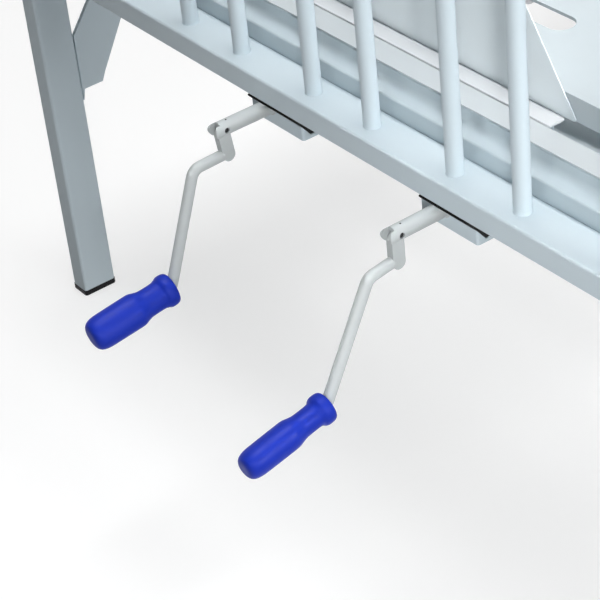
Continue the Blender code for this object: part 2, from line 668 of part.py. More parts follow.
def platform():
    """Four sections, their hinge rods, the mattress stop and the calf rollers."""
    back = panel("back_panel", SWING_HALF_WIDTH, BACK_HINGE_Y + EDGE_NEAR, BACK_END_Y,
                 (BACK_HINGE_Y, None), BACK_END_Y - FLANGE_INSET,
                 (BACK_HINGE_Y - PLAY, BACK_HINGE_Y + RELIEF))
    set_origin(back, (0, BACK_HINGE_Y, HINGE_Z))
    panel("seat_panel", SEAT_HALF_WIDTH, THIGH_HINGE_Y + EDGE_FAR, BACK_HINGE_Y - EDGE_FAR,
          (THIGH_HINGE_Y, BACK_HINGE_Y))
    thigh = panel("thigh_panel", SWING_HALF_WIDTH, KNEE_HINGE_Y + EDGE_NEAR + FIT,
                  THIGH_HINGE_Y - EDGE_NEAR, (KNEE_HINGE_Y, THIGH_HINGE_Y), None,
                  (THIGH_HINGE_Y - RELIEF, THIGH_HINGE_Y + PLAY))
    set_origin(thigh, (0, THIGH_HINGE_Y, HINGE_Z))
    calf = panel("calf_panel", SEAT_HALF_WIDTH, CALF_END_Y, KNEE_HINGE_Y - EDGE_NEAR - FIT,
                 (None, KNEE_HINGE_Y), CALF_END_Y + FLANGE_INSET)
    inside = SEAT_HALF_WIDTH - FLANGE_INSET - SHEET / 2
    roller_in = LEG_INNER + (TUBE_NARROW - ROLLER_WIDTH) / 2 - 1 * MM
    roller_out = roller_in + ROLLER_WIDTH
    for side, sign in (("left", -1), ("right", 1)):
        axle = bar("axle", (sign * inside, ROLLER_Y, ROLLER_Z),
                   (sign * (roller_out + FIT + AXLE_HEAD_WIDTH / 2), ROLLER_Y, ROLLER_Z), AXLE_DIAMETER)
        head = bar("head", (sign * (roller_out + FIT), ROLLER_Y, ROLLER_Z),
                   (sign * (roller_out + FIT + AXLE_HEAD_WIDTH), ROLLER_Y, ROLLER_Z), AXLE_HEAD)
        union(axle, head)
        union(calf, axle)
        roller = ring_roller(f"calf_roller_{side}", (sign * roller_in, ROLLER_Y, ROLLER_Z),
                             (sign * roller_out, ROLLER_Y, ROLLER_Z), ROLLER_DIAMETER,
                             AXLE_DIAMETER + 2 * FIT, FINE, "roller_nylon")
        set_origin(roller, (0, ROLLER_Y, ROLLER_Z))
    set_origin(calf, (0, KNEE_HINGE_Y, HINGE_Z))
    half_low = STOP_BOTTOM_WIDTH / 2
    half_high = STOP_TOP_WIDTH / 2
    top = FLANGE_BOTTOM + STOP_HEIGHT
    outline = [(-half_low, FLANGE_BOTTOM), (half_low, FLANGE_BOTTOM)]
    outline += [(half_high, top), (-half_high, top)]
    stop_back = CALF_END_Y - FIT
    stop = prism("mattress_stop", outline, 1, stop_back - STOP_THICKNESS, stop_back, "panel_paint")
    set_origin(stop, (0, KNEE_HINGE_Y, HINGE_Z))
    reach = LEG_INNER - ROD_END
    knee_reach = SWING_HALF_WIDTH + ROD_PROUD
    for name, y, length in (("back_hinge_rod", BACK_HINGE_Y, reach),
                            ("thigh_hinge_rod", THIGH_HINGE_Y, reach),
                            ("knee_hinge_rod", KNEE_HINGE_Y, knee_reach)):
        bar(name, (-length, y, HINGE_Z), (length, y, HINGE_Z), ROD_DIAMETER, ROUND, "zinc_steel")


def rounded_plan(x0, y0, x1, y1, radius):
    """A rectangle in plan with round corners."""
    shape = arc((x0 + radius, y0 + radius), radius, 180, 270, 4)
    shape += arc((x1 - radius, y0 + radius), radius, 270, 360, 4)
    shape += arc((x1 - radius, y1 - radius), radius, 0, 90, 4)
    shape += arc((x0 + radius, y1 - radius), radius, 90, 180, 4)
    return shape


def crank_bracket(name, x):
    """Sheet tray that the shaft turns in, welded under the rail by its tall back wall."""
    x0 = x - BRACKET_LEFT
    x1 = x0 + BRACKET_WIDTH
    sheet = BRACKET_SHEET
    top = RAIL_BOTTOM - FIT
    above = top + 0.01
    floor = BRACKET_BOTTOM + sheet
    back = TUBE_WIDE - sheet

    outside = rounded_plan(x0, BRACKET_FRONT, x1, TUBE_WIDE, BRACKET_CORNER)
    tray = prism(f"{name}_crank_bracket", outside, 2, BRACKET_BOTTOM, top)
    inner_corner = BRACKET_CORNER - sheet
    inside = rounded_plan(x0 + sheet, BRACKET_FRONT + sheet, x1 - sheet, back, inner_corner)
    hollow = prism("hollow", inside, 2, floor, above)
    front = box("front", (x0 - 0.01, 0, BRACKET_RIM), (x1 + 0.01, back, above))
    cut(tray, hollow, front)
    start = (x, 0, SHAFT_Z)
    bore = bar("bore", start, (x, TUBE_WIDE + 0.01, SHAFT_Z), SHAFT_DIAMETER + 2 * FIT, FINE)
    cut(tray, bore)


def crank_shaft(name, x, screw_end, reach):
    """Forked crank tube, flange and collar round the bracket, and the hidden screw."""
    r = SHAFT_DIAMETER / 2
    pin_y = PIN_SETBACK - reach
    wall = reach + BRACKET_FRONT - FIT
    collar = reach + TUBE_WIDE + FIT
    end = reach + screw_end
    profile = [
        (0, 0),
        (r, 0),
        (r, wall - SHAFT_FLANGE_WIDTH),
        (SHAFT_FLANGE / 2, wall - SHAFT_FLANGE_WIDTH),
        (SHAFT_FLANGE / 2, wall),
        (r, wall),
        (r, collar),
        (SHAFT_COLLAR / 2, collar),
        (SHAFT_COLLAR / 2, collar + SHAFT_COLLAR_WIDTH),
        (r, collar + SHAFT_COLLAR_WIDTH),
        (r, end),
        (0, end),
    ]
    shaft = lathe(name, profile, (x, -reach, SHAFT_Z), (0, 1, 0), FINE, "crank_paint")
    half = FORK_WIDTH / 2
    slot_back = pin_y + KNUCKLE_LENGTH + PLAY
    before = -reach - 0.01
    low = (x - half, before, SHAFT_Z - 0.02)
    slot = box("slot", low, (x + half, slot_back, SHAFT_Z + FORK_SLOT_TOP))
    mouth = box("mouth", low, (x + half, FORK_OPEN - reach, SHAFT_Z + 0.02))
    cut(shaft, slot, mouth)
    for start, turn in ((90, 1), (-90, -1)):
        rounding = arc((r - reach, SHAFT_Z), r, start, start + turn * 90, 6)
        beyond = SHAFT_Z + turn * 0.01
        rounding += [(before, SHAFT_Z), (before, beyond), (r - reach, beyond)]
        cut(shaft, prism("rounding", rounding, 0, x - 0.01, x + 0.01))
    drill(shaft, (x, pin_y, SHAFT_Z), PIN_DIAMETER + 2 * FIT, 16)
    set_origin(shaft, (x, 0, SHAFT_Z))


def rod_path(start, shape):
    """Centre line of the crank rod in YZ from the knuckle to the grip, and where its last bend ends."""
    stub_fall = math.radians(shape["stub_fall"])
    lean = math.radians(shape["lean"])
    grip_fall = math.radians(shape["grip_fall"])
    stub = Vector((-math.cos(stub_fall), -math.sin(stub_fall)))
    down = Vector((-math.sin(lean), -math.cos(lean)))
    out = Vector((-math.cos(grip_fall), -math.sin(grip_fall)))
    first = Vector(start) + stub * shape["stub"]
    second = first + down * ((first.y - (SHAFT_Z - shape["drop"])) / math.cos(lean))
    points = [Vector(start)]
    for corner, incoming, outgoing, bend in ((first, stub, down, CRANK_BEND), (second, down, out, GRIP_BEND)):
        turn = incoming.angle(outgoing)
        back = bend * math.tan(turn / 2)
        tangent = corner - incoming * back
        sign = 1 if incoming.x * outgoing.y - incoming.y * outgoing.x > 0 else -1
        normal = Vector((-incoming.y, incoming.x)) * sign
        centre = tangent + normal * bend
        for i in range(6):
            step = turn * i / 5
            across = normal * bend * math.cos(step)
            points.append(centre - across + incoming * bend * math.sin(step))
    return points, points[-1], out


def make_oval(grip, base, axis, roll):
    """Widens the outside of a turned grip one way and narrows it the other; the bore stays round."""
    across = Vector((math.cos(roll), 0, math.sin(roll)))
    wide = (across - axis * across.dot(axis)).normalized()
    narrow = axis.cross(wide)
    bore = CRANK_ROD_DIAMETER / 2 + FIT + GRIP_FLARE
    for vert in grip.data.vertices:
        offset = vert.co - base
        along = offset.dot(axis)
        radial = offset - axis * along
        beyond_bore = along > GRIP_LENGTH - GRIP_WALL + FIT
        if radial.length < bore + FIT and not beyond_bore:
            continue
        share = GRIP_COLLAR_OVAL if along < GRIP_COLLAR_LENGTH - MM else GRIP_OVAL
        vert.co += wide * radial.dot(wide) * share - narrow * radial.dot(narrow) * share


def crank(name, x, shape):
    """Knuckle plate with its bent rod, the cross pin and the grip."""
    pin_y = PIN_SETBACK - shape["reach"]
    fold = math.radians(shape["fold"])
    front, eye = -KNUCKLE_FRONT, KNUCKLE_EYE
    bottom_radius = (eye - front) / 2
    bottom = (front + bottom_radius, -KNUCKLE_LENGTH + bottom_radius)
    outline = arc((0, 0), eye, 0, 100, 6)
    outline += [(front, -eye)]
    outline += arc(bottom, bottom_radius, 180, 360, 8)

    def turned(point):
        y, z = point
        ty = y * math.cos(fold) - z * math.sin(fold)
        tz = y * math.sin(fold) + z * math.cos(fold)
        return (pin_y + ty, SHAFT_Z + tz)

    half = KNUCKLE_THICKNESS / 2
    arm = prism(f"{name}_crank_arm", [turned(p) for p in outline], 0, x - half, x + half, "crank_paint")
    drill(arm, (x, pin_y, SHAFT_Z), PIN_DIAMETER + 2 * FIT, 16)
    path, bend_end, out = rod_path(turned((front + KNUCKLE_ROD_SINK, -KNUCKLE_ROD_DROP)), shape)
    grip_start = bend_end - out * GRIP_LEAD
    tip = grip_start + out * (GRIP_LENGTH - GRIP_WALL - FIT)
    rod = bent_rod("rod", x, path + [tip], CRANK_ROD_DIAMETER, 16, "crank_paint")
    union(arm, rod)
    set_origin(arm, (x, pin_y, SHAFT_Z))
    reach = PIN_LENGTH / 2
    start = (x - reach, pin_y, SHAFT_Z)
    pin = bar(f"{name}_crank_pin", start, (x + reach, pin_y, SHAFT_Z), PIN_DIAMETER, 16, "zinc_steel")
    set_origin(pin, (x, 0, SHAFT_Z))
    body, neck, collar = GRIP_DIAMETER / 2, GRIP_NECK / 2, GRIP_COLLAR / 2
    bore = CRANK_ROD_DIAMETER / 2 + FIT
    end = GRIP_LENGTH
    profile = [
        (0, end - GRIP_WALL),
        (bore, end - GRIP_WALL),
        (bore, 1.5 * GRIP_LEAD),
        (bore + GRIP_FLARE, 0),
        (collar - 1.8 * MM, 0),
        (collar - 0.6 * MM, 1.6 * MM),
        (collar, 5 * MM),
        (collar - 0.2 * MM, 8 * MM),
        (collar - 1.3 * MM, GRIP_COLLAR_LENGTH - 2 * MM),
        (neck + 0.4 * MM, GRIP_COLLAR_LENGTH),
        (neck, GRIP_COLLAR_LENGTH + 4 * MM),
        (neck + 0.15 * MM, GRIP_NECK_END),
        (body - 1.2 * MM, GRIP_SHOULDER_AT - 4 * MM),
        (body, GRIP_SHOULDER_AT),
        (body - 0.2 * MM, end - 12 * MM),
        (body - 1.4 * MM, end - 5.5 * MM),
        (body - 3.6 * MM, end - 2 * MM),
        (body - 6.5 * MM, end - 0.4 * MM),
        (0, end),
    ]
    base = (x, grip_start.x, grip_start.y)
    grip = lathe(f"{name}_crank_grip", profile, base, (0, out.x, out.y), FINE, "grip_blue")
    make_oval(grip, Vector(base), Vector((0, out.x, out.y)), math.radians(shape["grip_roll"]))
    set_origin(grip, base)
    return base, out


def traveller(name, x, pin_y, pin_low, pin_high):
    """Nut and push tube over the screw, ending in a yoke with an upright slot."""
    yoke_front = pin_y - YOKE_WIDTH / 2
    start = NUT_Y
    length = yoke_front + YOKE_WIDTH / 3 - start
    bore_end = yoke_front - start - 4 * MM
    screw_bore = SHAFT_DIAMETER / 2 + FIT
    profile = [
        (0, bore_end),
        (PUSH_BORE / 2, bore_end),
        (PUSH_BORE / 2, NUT_LENGTH),
        (screw_bore, NUT_LENGTH),
        (screw_bore, 0),
        (NUT_DIAMETER / 2, 0),
        (NUT_DIAMETER / 2, NUT_LENGTH),
        (PUSH_DIAMETER / 2, NUT_LENGTH),
        (PUSH_DIAMETER / 2, length),
        (0, length),
    ]
    tube = lathe(name, profile, (x, start, SHAFT_Z), (0, 1, 0), ROUND, "zinc_steel")
    half = YOKE_THICKNESS / 2
    reach = LEVER_PIN / 2 + LEVER_PLAY
    slot_low = pin_low - reach
    slot_high = pin_high + reach
    low = (x - half, yoke_front, slot_low - YOKE_MARGIN)
    yoke = box("yoke", low, (x + half, yoke_front + YOKE_WIDTH, YOKE_TOP))
    slot = box("slot", (x - 0.02, pin_y - reach, slot_low), (x + 0.02, pin_y + reach, slot_high))
    cut(yoke, slot)
    union(tube, yoke)
    set_origin(tube, (x, start, SHAFT_Z))


def lever(name, x, hinge_y, pin_y, pin_z, towards):
    """Plate welded under a section, with the pin that works in the yoke.

    towards is +1 where the section runs to the head and -1 where it runs to the foot.
    """
    near = hinge_y + towards * LEVER_NEAR
    far = hinge_y + towards * LEVER_FAR
    top = SHEET_UNDER - FIT
    aim = math.degrees(math.atan2(top - pin_z, far - pin_y))
    sweep = 180 * towards
    outline = [(near, top), (far, top)]
    outline += arc((pin_y, pin_z), LEVER_EYE, aim - towards * 90, aim - towards * 90 - sweep, 8)
    x0 = x + PUSH_DIAMETER / 2 + PLAY / 2
    plate = prism(name, outline, 0, x0, x0 + LEVER_THICKNESS, "zinc_steel")
    reach = YOKE_THICKNESS / 2 + 1 * MM
    pin = bar("pin", (x - reach, pin_y, pin_z), (x0 + LEVER_THICKNESS / 2, pin_y, pin_z), LEVER_PIN, ROUND)
    union(plate, pin)
    set_origin(plate, (0, hinge_y, HINGE_Z))


def mechanisms():
    """Both screw drives, with the lever ends where they are with the bed flat."""
    back_half = math.radians(BACK_RAISE / 2)
    knee_half = math.radians(KNEE_RAISE / 2)
    back_pin_y = BACK_HINGE_Y - BACK_TRAVEL / 2
    back_pin_z = HINGE_Z - BACK_LEVER * math.cos(back_half)
    knee_pin_y = THIGH_HINGE_Y + KNEE_TRAVEL / 2
    knee_pin_z = HINGE_Z - KNEE_LEVER * math.cos(knee_half)
    traveller("back_push_tube", BACK_CRANK_X, back_pin_y, HINGE_Z - BACK_LEVER, back_pin_z)
    traveller("knee_push_tube", KNEE_CRANK_X, knee_pin_y, HINGE_Z - KNEE_LEVER, knee_pin_z)
    lever("back_lever", BACK_CRANK_X, BACK_HINGE_Y, back_pin_y, back_pin_z, 1)
    lever("thigh_lever", KNEE_CRANK_X, THIGH_HINGE_Y, knee_pin_y, knee_pin_z, -1)


def centre_on_origin():
    """Moves the bed so that the middle of its bounds is at X = 0, Y = 0."""
    bpy.context.view_layer.update()
    ys = []
    for obj in bpy.data.objects:
        ys += [(obj.matrix_world @ v.co).y for v in obj.data.vertices]
    shift = -(min(ys) + max(ys)) / 2
    for obj in bpy.data.objects:
        obj.location.y += shift
    return shift


clear_scene()
end_frame("foot", 0.0, FOOT_HEIGHT)
end_frame("head", BED_LENGTH - TUBE_WIDE, HEAD_HEIGHT)
leg_braces()
side_rails()
cross_members()
platform()
for crank_name, crank_x, crank_shape, end_of_screw in (
        ("back", BACK_CRANK_X, BACK_CRANK, BACK_SCREW_END),
        ("knee", KNEE_CRANK_X, KNEE_CRANK, KNEE_SCREW_END)):
    crank_bracket(crank_name, crank_x)
    crank_shaft(f"{crank_name}_crank_shaft", crank_x, end_of_screw, crank_shape["reach"])
    grip_base, grip_axis = crank(crank_name, crank_x, crank_shape)
    print(crank_name, "grip base", [round(c, 5) for c in grip_base])
    print(crank_name, "grip axis", [round(c, 5) for c in grip_axis])
mechanisms()
moved = centre_on_origin()
print("moved along Y by", round(moved, 6))
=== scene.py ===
"""Looks of the manual hospital bed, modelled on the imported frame.

Metres, +Z up. X runs across the bed, Y from the foot end (-Y) to the head end (+Y).
"""
import math

import bmesh
import bpy
from mathutils import Matrix, Vector


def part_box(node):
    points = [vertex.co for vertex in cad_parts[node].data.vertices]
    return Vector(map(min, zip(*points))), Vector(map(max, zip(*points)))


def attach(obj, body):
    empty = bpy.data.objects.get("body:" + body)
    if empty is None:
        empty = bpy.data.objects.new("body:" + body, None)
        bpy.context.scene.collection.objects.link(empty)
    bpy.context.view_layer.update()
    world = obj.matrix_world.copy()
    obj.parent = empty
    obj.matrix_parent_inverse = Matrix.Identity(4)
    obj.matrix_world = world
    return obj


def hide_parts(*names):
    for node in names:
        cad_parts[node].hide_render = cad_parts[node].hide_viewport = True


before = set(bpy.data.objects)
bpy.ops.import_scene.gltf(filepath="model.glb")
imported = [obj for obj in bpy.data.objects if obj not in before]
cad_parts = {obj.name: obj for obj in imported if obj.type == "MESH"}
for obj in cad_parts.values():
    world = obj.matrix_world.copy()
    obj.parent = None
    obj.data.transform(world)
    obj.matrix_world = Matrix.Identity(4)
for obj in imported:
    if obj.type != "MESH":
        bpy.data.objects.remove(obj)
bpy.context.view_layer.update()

MM = 0.001
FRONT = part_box("foot_lower_rail")[0].y      # front of the footboard

# Sizes in millimetres, heights from the floor and depths from the front of the footboard
TUBE_WALL, FRAME_WALL = 1.5, 2.0
TUBE_CORNER, RAIL_CORNER = 3.0, 2.2
END_DEPTH = 38.0
BED_LENGTH = 2060.0
FOOT_HEIGHT, HEAD_HEIGHT, TOP_RAIL = 800.0, 950.0, 22.0
LEG_INNER = 476.0
CAP_RIM, CAP_SOLE, CAP_PLUG = 0.4, 6.3, 14.7
RAIL_BOTTOM, RAIL_TOP = 397.0, 419.0
SPINDLE_PAIR, SPINDLE_STEP, SPINDLE_PAIRS = 77.0, 178.5, 5
SPINDLE_RADIUS, SPINDLE_FACETS = 7.25, 40
MEMBER_FRONT, LEDGE_BACK, SHELF_BACK, REBATE_BACK = 44.5, 58.0, 79.5, 128.0
MEMBER_BOTTOM, LEDGE_Z, SHELF_Z, MEMBER_SHEET = 398.5, 431.0, 448.0, 2.5
PAINTED_LIGHT_SHEET_TOP = 432.0
SHEET_UNDER, PLATFORM_TOP = 467.0, 470.0
FLANGE_BOTTOM, FLANGE_SHEET = 448.0, 3.0
SLOT_COLUMNS, SLOT_LENGTH, SLOT_WIDTH = 3, 210.0, 26.0
SLOT_STEP_X, SLOT_STEP_Y, SLOT_MARGIN = 270.0, 78.0, 62.0
HINGE_Z = 459.0
EYE_RADIUS, EYE_BORE, HINGE_ROD = 7.6, 5.3, 5.0
ROLLER_Y, ROLLER_Z = 150.0, 459.3
KNEE_Y, THIGH_Y, BACK_Y = 562.0, 902.0, 1152.0
SWING_HALF, SEAT_HALF = 466.0, 461.3
SHAFT_Z = 388.0
SHAFT_RADIUS, SHAFT_FACETS = 6.9, 48
THREAD_PITCH = 4.0
BRACKET_LEFT, BRACKET_RIGHT = 30.5, {"back": 42.5, "knee": 38.0}
PIN_SETBACK, PIN_BORE = 11.0, 2.55
KNUCKLE_HALF = 3.7
ROD_RADIUS = 5.0
ROD_BEND, GRIP_BEND = 10.0, 7.0
GRIP_LENGTH = 85.0
GRIP_LEAD = 4.0
CRANKS = {
    "back": {"x": -92.0, "reach": 51.0, "end": 480.0, "thread": (286.0, 478.0), "fold": 7.0, "stub": 30.3,
             "stub_fall": 2.0, "lean": 20.3, "drop": 128.0, "grip_fall": 7.3, "grip_roll": -49.5},
    "knee": {"x": 134.5, "reach": 48.3, "end": 352.0, "thread": (206.0, 350.0), "fold": 0.0, "stub": 24.1,
             "stub_fall": 8.0, "lean": 28.0, "drop": 124.3, "grip_fall": 12.4, "grip_roll": 47.8},
}


def spot(x, y, z):
    """A point given in millimetres from the front of the footboard."""
    return Vector((x * MM, FRONT + y * MM, z * MM))


# Hand tools

def deselect():
    if bpy.context.mode != "OBJECT":
        bpy.ops.object.mode_set(mode="OBJECT")
    bpy.ops.object.select_all(action="DESELECT")


def only(obj):
    deselect()
    obj.select_set(True)
    bpy.context.view_layer.objects.active = obj
    return obj


def pick(obj, kind, test):
    """Edit mode on obj, with just the corners, edges or faces that pass the test selected."""
    if bpy.context.mode != "EDIT_MESH" or bpy.context.object != obj:
        only(obj)
        bpy.ops.object.mode_set(mode="EDIT")
    bpy.ops.mesh.select_mode(type=kind)
    bpy.ops.mesh.select_all(action="DESELECT")
    shape = bmesh.from_edit_mesh(obj.data)
    for part in {"VERT": shape.verts, "EDGE": shape.edges, "FACE": shape.faces}[kind]:
        part.select_set(bool(test(part)))
    shape.select_flush_mode()
    bmesh.update_edit_mesh(obj.data)


def edit_all(obj):
    """Edit mode with every corner selected."""
    only(obj)
    bpy.ops.object.mode_set(mode="EDIT")
    bpy.ops.mesh.select_mode(type="VERT")
    bpy.ops.mesh.select_all(action="SELECT")


def heading(edge):
    return (edge.verts[1].co - edge.verts[0].co).normalized()


def running(axis):
    """Test for edges that run along an axis."""
    return lambda e: abs(heading(e)[axis]) > 0.9


def round_edges(obj, test, width, segments):
    """Rounds the edges that pass the test, and stays in edit mode."""
    pick(obj, "EDGE", test)
    bpy.ops.mesh.bevel(offset=width * MM, segments=segments, affect="EDGES")


def leave_edit():
    bpy.ops.object.mode_set(mode="OBJECT")


def draw_out(x, y, z):
    bpy.ops.mesh.extrude_region_move(TRANSFORM_OT_translate={"value": (x, y, z)})


def close_up(obj):
    """Fills open ends, turns the faces outwards and leaves edit mode."""
    bpy.ops.mesh.select_all(action="SELECT")
    bpy.ops.mesh.remove_doubles(threshold=1e-6)
    bpy.ops.mesh.fill_holes(sides=0)
    bpy.ops.mesh.select_all(action="SELECT")
    bpy.ops.mesh.normals_make_consistent(inside=False)
    bpy.ops.object.mode_set(mode="OBJECT")
    return obj


def fix_place(obj):
    """Puts the object's place and turn into its mesh."""
    only(obj)
    bpy.ops.object.transform_apply(location=True, rotation=True, scale=True)
    return obj


def apply(obj, kind, **settings):
    only(obj)
    mod = obj.modifiers.new(kind.lower(), kind)
    for key, value in settings.items():
        setattr(mod, key, value)
    bpy.ops.object.modifier_apply(modifier=mod.name)
    return obj


def ease(obj, width, segments=2, angle=40):
    """Breaks the sharp edges."""
    return apply(obj, "BEVEL", width=width * MM, segments=segments, limit_method="ANGLE",
                 angle_limit=math.radians(angle), use_clamp_overlap=True)


def soften(obj, angle=38):
    """Smooth shading that keeps large flats flat."""
    only(obj)
    bpy.ops.object.shade_smooth_by_angle(angle=math.radians(angle))
    return apply(obj, "WEIGHTED_NORMAL", weight=80, keep_sharp=True)


def cut(obj, *tools):
    for tool in tools:
        apply(obj, "BOOLEAN", operation="DIFFERENCE", object=tool, solver="EXACT")
        bpy.data.objects.remove(tool, do_unlink=True)
    return obj


def fuse(obj, *others):
    for other in others:
        apply(obj, "BOOLEAN", operation="UNION", object=other, solver="EXACT")
        bpy.data.objects.remove(other, do_unlink=True)
    return obj


def joined(first, *others):
    only(first)
    for other in others:
        other.select_set(True)
    bpy.ops.object.join()
    return first


def copied(obj, shift=(0, 0, 0), flip=False):
    """Another one like it, moved, and mirrored across the bed if flip is set."""
    twin = bpy.data.objects.new(obj.name, obj.data.copy())
    bpy.context.scene.collection.objects.link(twin)
    if flip:
        twin.data.transform(Matrix.Scale(-1, 4, (1, 0, 0)))
        twin.data.flip_normals()
    twin.data.transform(Matrix.Translation(shift))
    return twin


# Basic forms

def block(low, high):
    low, high = Vector(low), Vector(high)
    deselect()
    bpy.ops.mesh.primitive_cube_add(size=1, location=(low + high) / 2)
    obj = bpy.context.object
    obj.scale = high - low
    return fix_place(obj)


def square_tube(low, high, along, wall, corner):
    """Rectangular tube with rounded corners, open at both ends."""
    obj = block(low, high)
    round_edges(obj, running(along), corner, 5)
    pick(obj, "FACE", lambda f: abs(f.normal[along]) > 0.9)
    bpy.ops.mesh.inset(thickness=wall * MM, use_individual=True)
    bpy.ops.mesh.delete(type="ONLY_FACE")
    pick(obj, "EDGE", lambda e: e.is_boundary)
    bpy.ops.mesh.bridge_edge_loops()
    leave_edit()
    return soften(obj)


def turned(profile, facets, base=(0, 0, 0), axis=(0, 0, 1)):
    """Rings drawn up from (radius, height) points in millimetres, stood on base along axis.

    A profile that comes back to its first point makes a bored piece, any other is closed
    across its ends.
    """
    deselect()
    radius, height = profile[0]
    bpy.ops.mesh.primitive_circle_add(vertices=facets, radius=radius * MM, location=(0, 0, height * MM))
    obj = bpy.context.object
    edit_all(obj)
    for (r0, z0), (r1, z1) in zip(profile, profile[1:]):
        draw_out(0, 0, (z1 - z0) * MM)
        if r1 != r0:
            bpy.ops.transform.resize(value=(r1 / r0, r1 / r0, 1), center_override=(0, 0, z1 * MM))
    close_up(obj)
    turn = Vector((0, 0, 1)).rotation_difference(Vector(axis)).to_matrix().to_4x4()
    obj.matrix_world = Matrix.Translation(base) @ turn @ obj.matrix_world
    return fix_place(obj)


def plate(outline, along, low, high, rounding=0.0, edge=0.6):
    """A flat outline in millimetres, drawn out along one axis, with its edges eased."""
    deselect()
    bpy.ops.mesh.primitive_circle_add(vertices=len(outline), radius=1, fill_type="NGON")
    obj = bpy.context.object
    a, b = [i for i in range(3) if i != along]
    edit_all(obj)
    shape = bmesh.from_edit_mesh(obj.data)
    shape.verts.ensure_lookup_table()
    for vert, (u, v) in zip(shape.verts, outline):
        place = [0.0, 0.0, 0.0]
        place[along], place[a], place[b] = low, u, v
        vert.co = spot(*place)
    bmesh.update_edit_mesh(obj.data)
    bpy.ops.mesh.select_all(action="SELECT")
    if rounding:
        bpy.ops.mesh.bevel(offset=rounding * MM, segments=5, affect="VERTICES")
        bpy.ops.mesh.select_all(action="SELECT")
    travel = [0.0, 0.0, 0.0]
    travel[along] = (high - low) * MM
    draw_out(*travel)
    close_up(obj)
    if edge:
        ease(obj, edge)
    return obj


def folded_sheet(points, bends, x0, x1, thickness):
    """A strip drawn along (y, z) points with its folds rounded, thickened on its inner side."""
    deselect()
    bpy.ops.mesh.primitive_plane_add(size=1)
    obj = bpy.context.object
    edit_all(obj)
    shape = bmesh.from_edit_mesh(obj.data)
    shape.verts.ensure_lookup_table()
    for vert in shape.verts:
        x = x1 if vert.co.x > 0 else x0
        y, z = points[1] if vert.co.y > 0 else points[0]
        vert.co = spot(x, y, z)
    bmesh.update_edit_mesh(obj.data)

    def at(y, z):
        place = spot(0, y, z)
        return lambda e: all((v.co - place).yz.length < 1e-5 for v in e.verts)

    for (y0, z0), (y1, z1) in zip(points[1:], points[2:]):
        pick(obj, "EDGE", at(y0, z0))
        draw_out(0, (y1 - y0) * MM, (z1 - z0) * MM)
    for (y, z), radius in bends:
        round_edges(obj, at(y, z), radius, 6)
    bpy.ops.mesh.select_all(action="SELECT")
    bpy.ops.mesh.normals_make_consistent(inside=False)
    leave_edit()
    return apply(obj, "SOLIDIFY", thickness=thickness * MM, offset=-1)


def eased(node, width):
    """A merged copy of a solid of the frame, its flats joined up and its edges broken."""
    obj = bpy.data.objects.new(node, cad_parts[node].data.copy())
    bpy.context.scene.collection.objects.link(obj)
    only(obj)
    bpy.ops.mesh.customdata_custom_splitnormals_clear()
    edit_all(obj)
    bpy.ops.mesh.remove_doubles(threshold=1e-6)
    bpy.ops.mesh.dissolve_limited(angle_limit=math.radians(1))
    leave_edit()
    return ease(obj, width)


def arc(centre, radius, start, end, steps):
    points = []
    for i in range(steps + 1):
        turn = math.radians(start + (end - start) * i / steps)
        points.append((centre[0] + radius * math.cos(turn), centre[1] + radius * math.sin(turn)))
    return points


def weld(start, end, radius):
    """A fillet weld laid between two points, with the ripple of its passes."""
    start, end = Vector(start), Vector(end)
    length = (end - start).length / MM
    passes = max(4, round(length / 1.6))
    profile = [(0.35 * radius, 0)]
    for i in range(1, 2 * passes):
        along = length * i / (2 * passes)
        ends = min(1.0, 0.55 + min(along, length - along) / (2 * radius))
        profile.append((radius * ends * (1.0 if i % 2 else 0.86), along))
    profile.append((0.35 * radius, length))
    return turned(profile, 10, start, end - start)


# Finishes

def node_group(name, inputs, outputs):
    tree = bpy.data.node_groups.new(name, "ShaderNodeTree")
    for label, kind, value in inputs:
        tree.interface.new_socket(name=label, in_out="INPUT", socket_type=kind).default_value = value
    for label, kind in outputs:
        tree.interface.new_socket(name=label, in_out="OUTPUT", socket_type=kind)
    return tree, tree.nodes.new("NodeGroupInput"), tree.nodes.new("NodeGroupOutput")


def noise(tree, coords, scale, detail=3.0, roughness=0.5):
    node = tree.nodes.new("ShaderNodeTexNoise")
    node.inputs["Detail"].default_value = detail
    node.inputs["Roughness"].default_value = roughness
    tree.links.new(coords, node.inputs["Vector"])
    if hasattr(scale, "links"):
        tree.links.new(scale, node.inputs["Scale"])
    else:
        node.inputs["Scale"].default_value = scale
    return node.outputs["Fac"]


def ramp(tree, value, low, high, from_low=0.35, from_high=0.65):
    node = tree.nodes.new("ShaderNodeMapRange")
    tree.links.new(value, node.inputs["Value"])
    node.inputs["From Min"].default_value = from_low
    node.inputs["From Max"].default_value = from_high
    for label, end in (("To Min", low), ("To Max", high)):
        if hasattr(end, "links"):
            tree.links.new(end, node.inputs[label])
        else:
            node.inputs[label].default_value = end
    return node.outputs["Result"]


def arithmetic(tree, kind, a, b):
    node = tree.nodes.new("ShaderNodeMath")
    node.operation = kind
    for socket, value in zip(node.inputs, (a, b)):
        if hasattr(value, "links"):
            tree.links.new(value, socket)
        else:
            socket.default_value = value
    return node.outputs[0]


def tint(tree, colour, factor):
    """colour times a grey factor."""
    node = tree.nodes.new("ShaderNodeVectorMath")
    node.operation = "SCALE"
    tree.links.new(colour, node.inputs[0])
    tree.links.new(factor, node.inputs["Scale"])
    return node.outputs[0]


def object_coords(tree):
    return tree.nodes.new("ShaderNodeTexCoord").outputs["Object"]


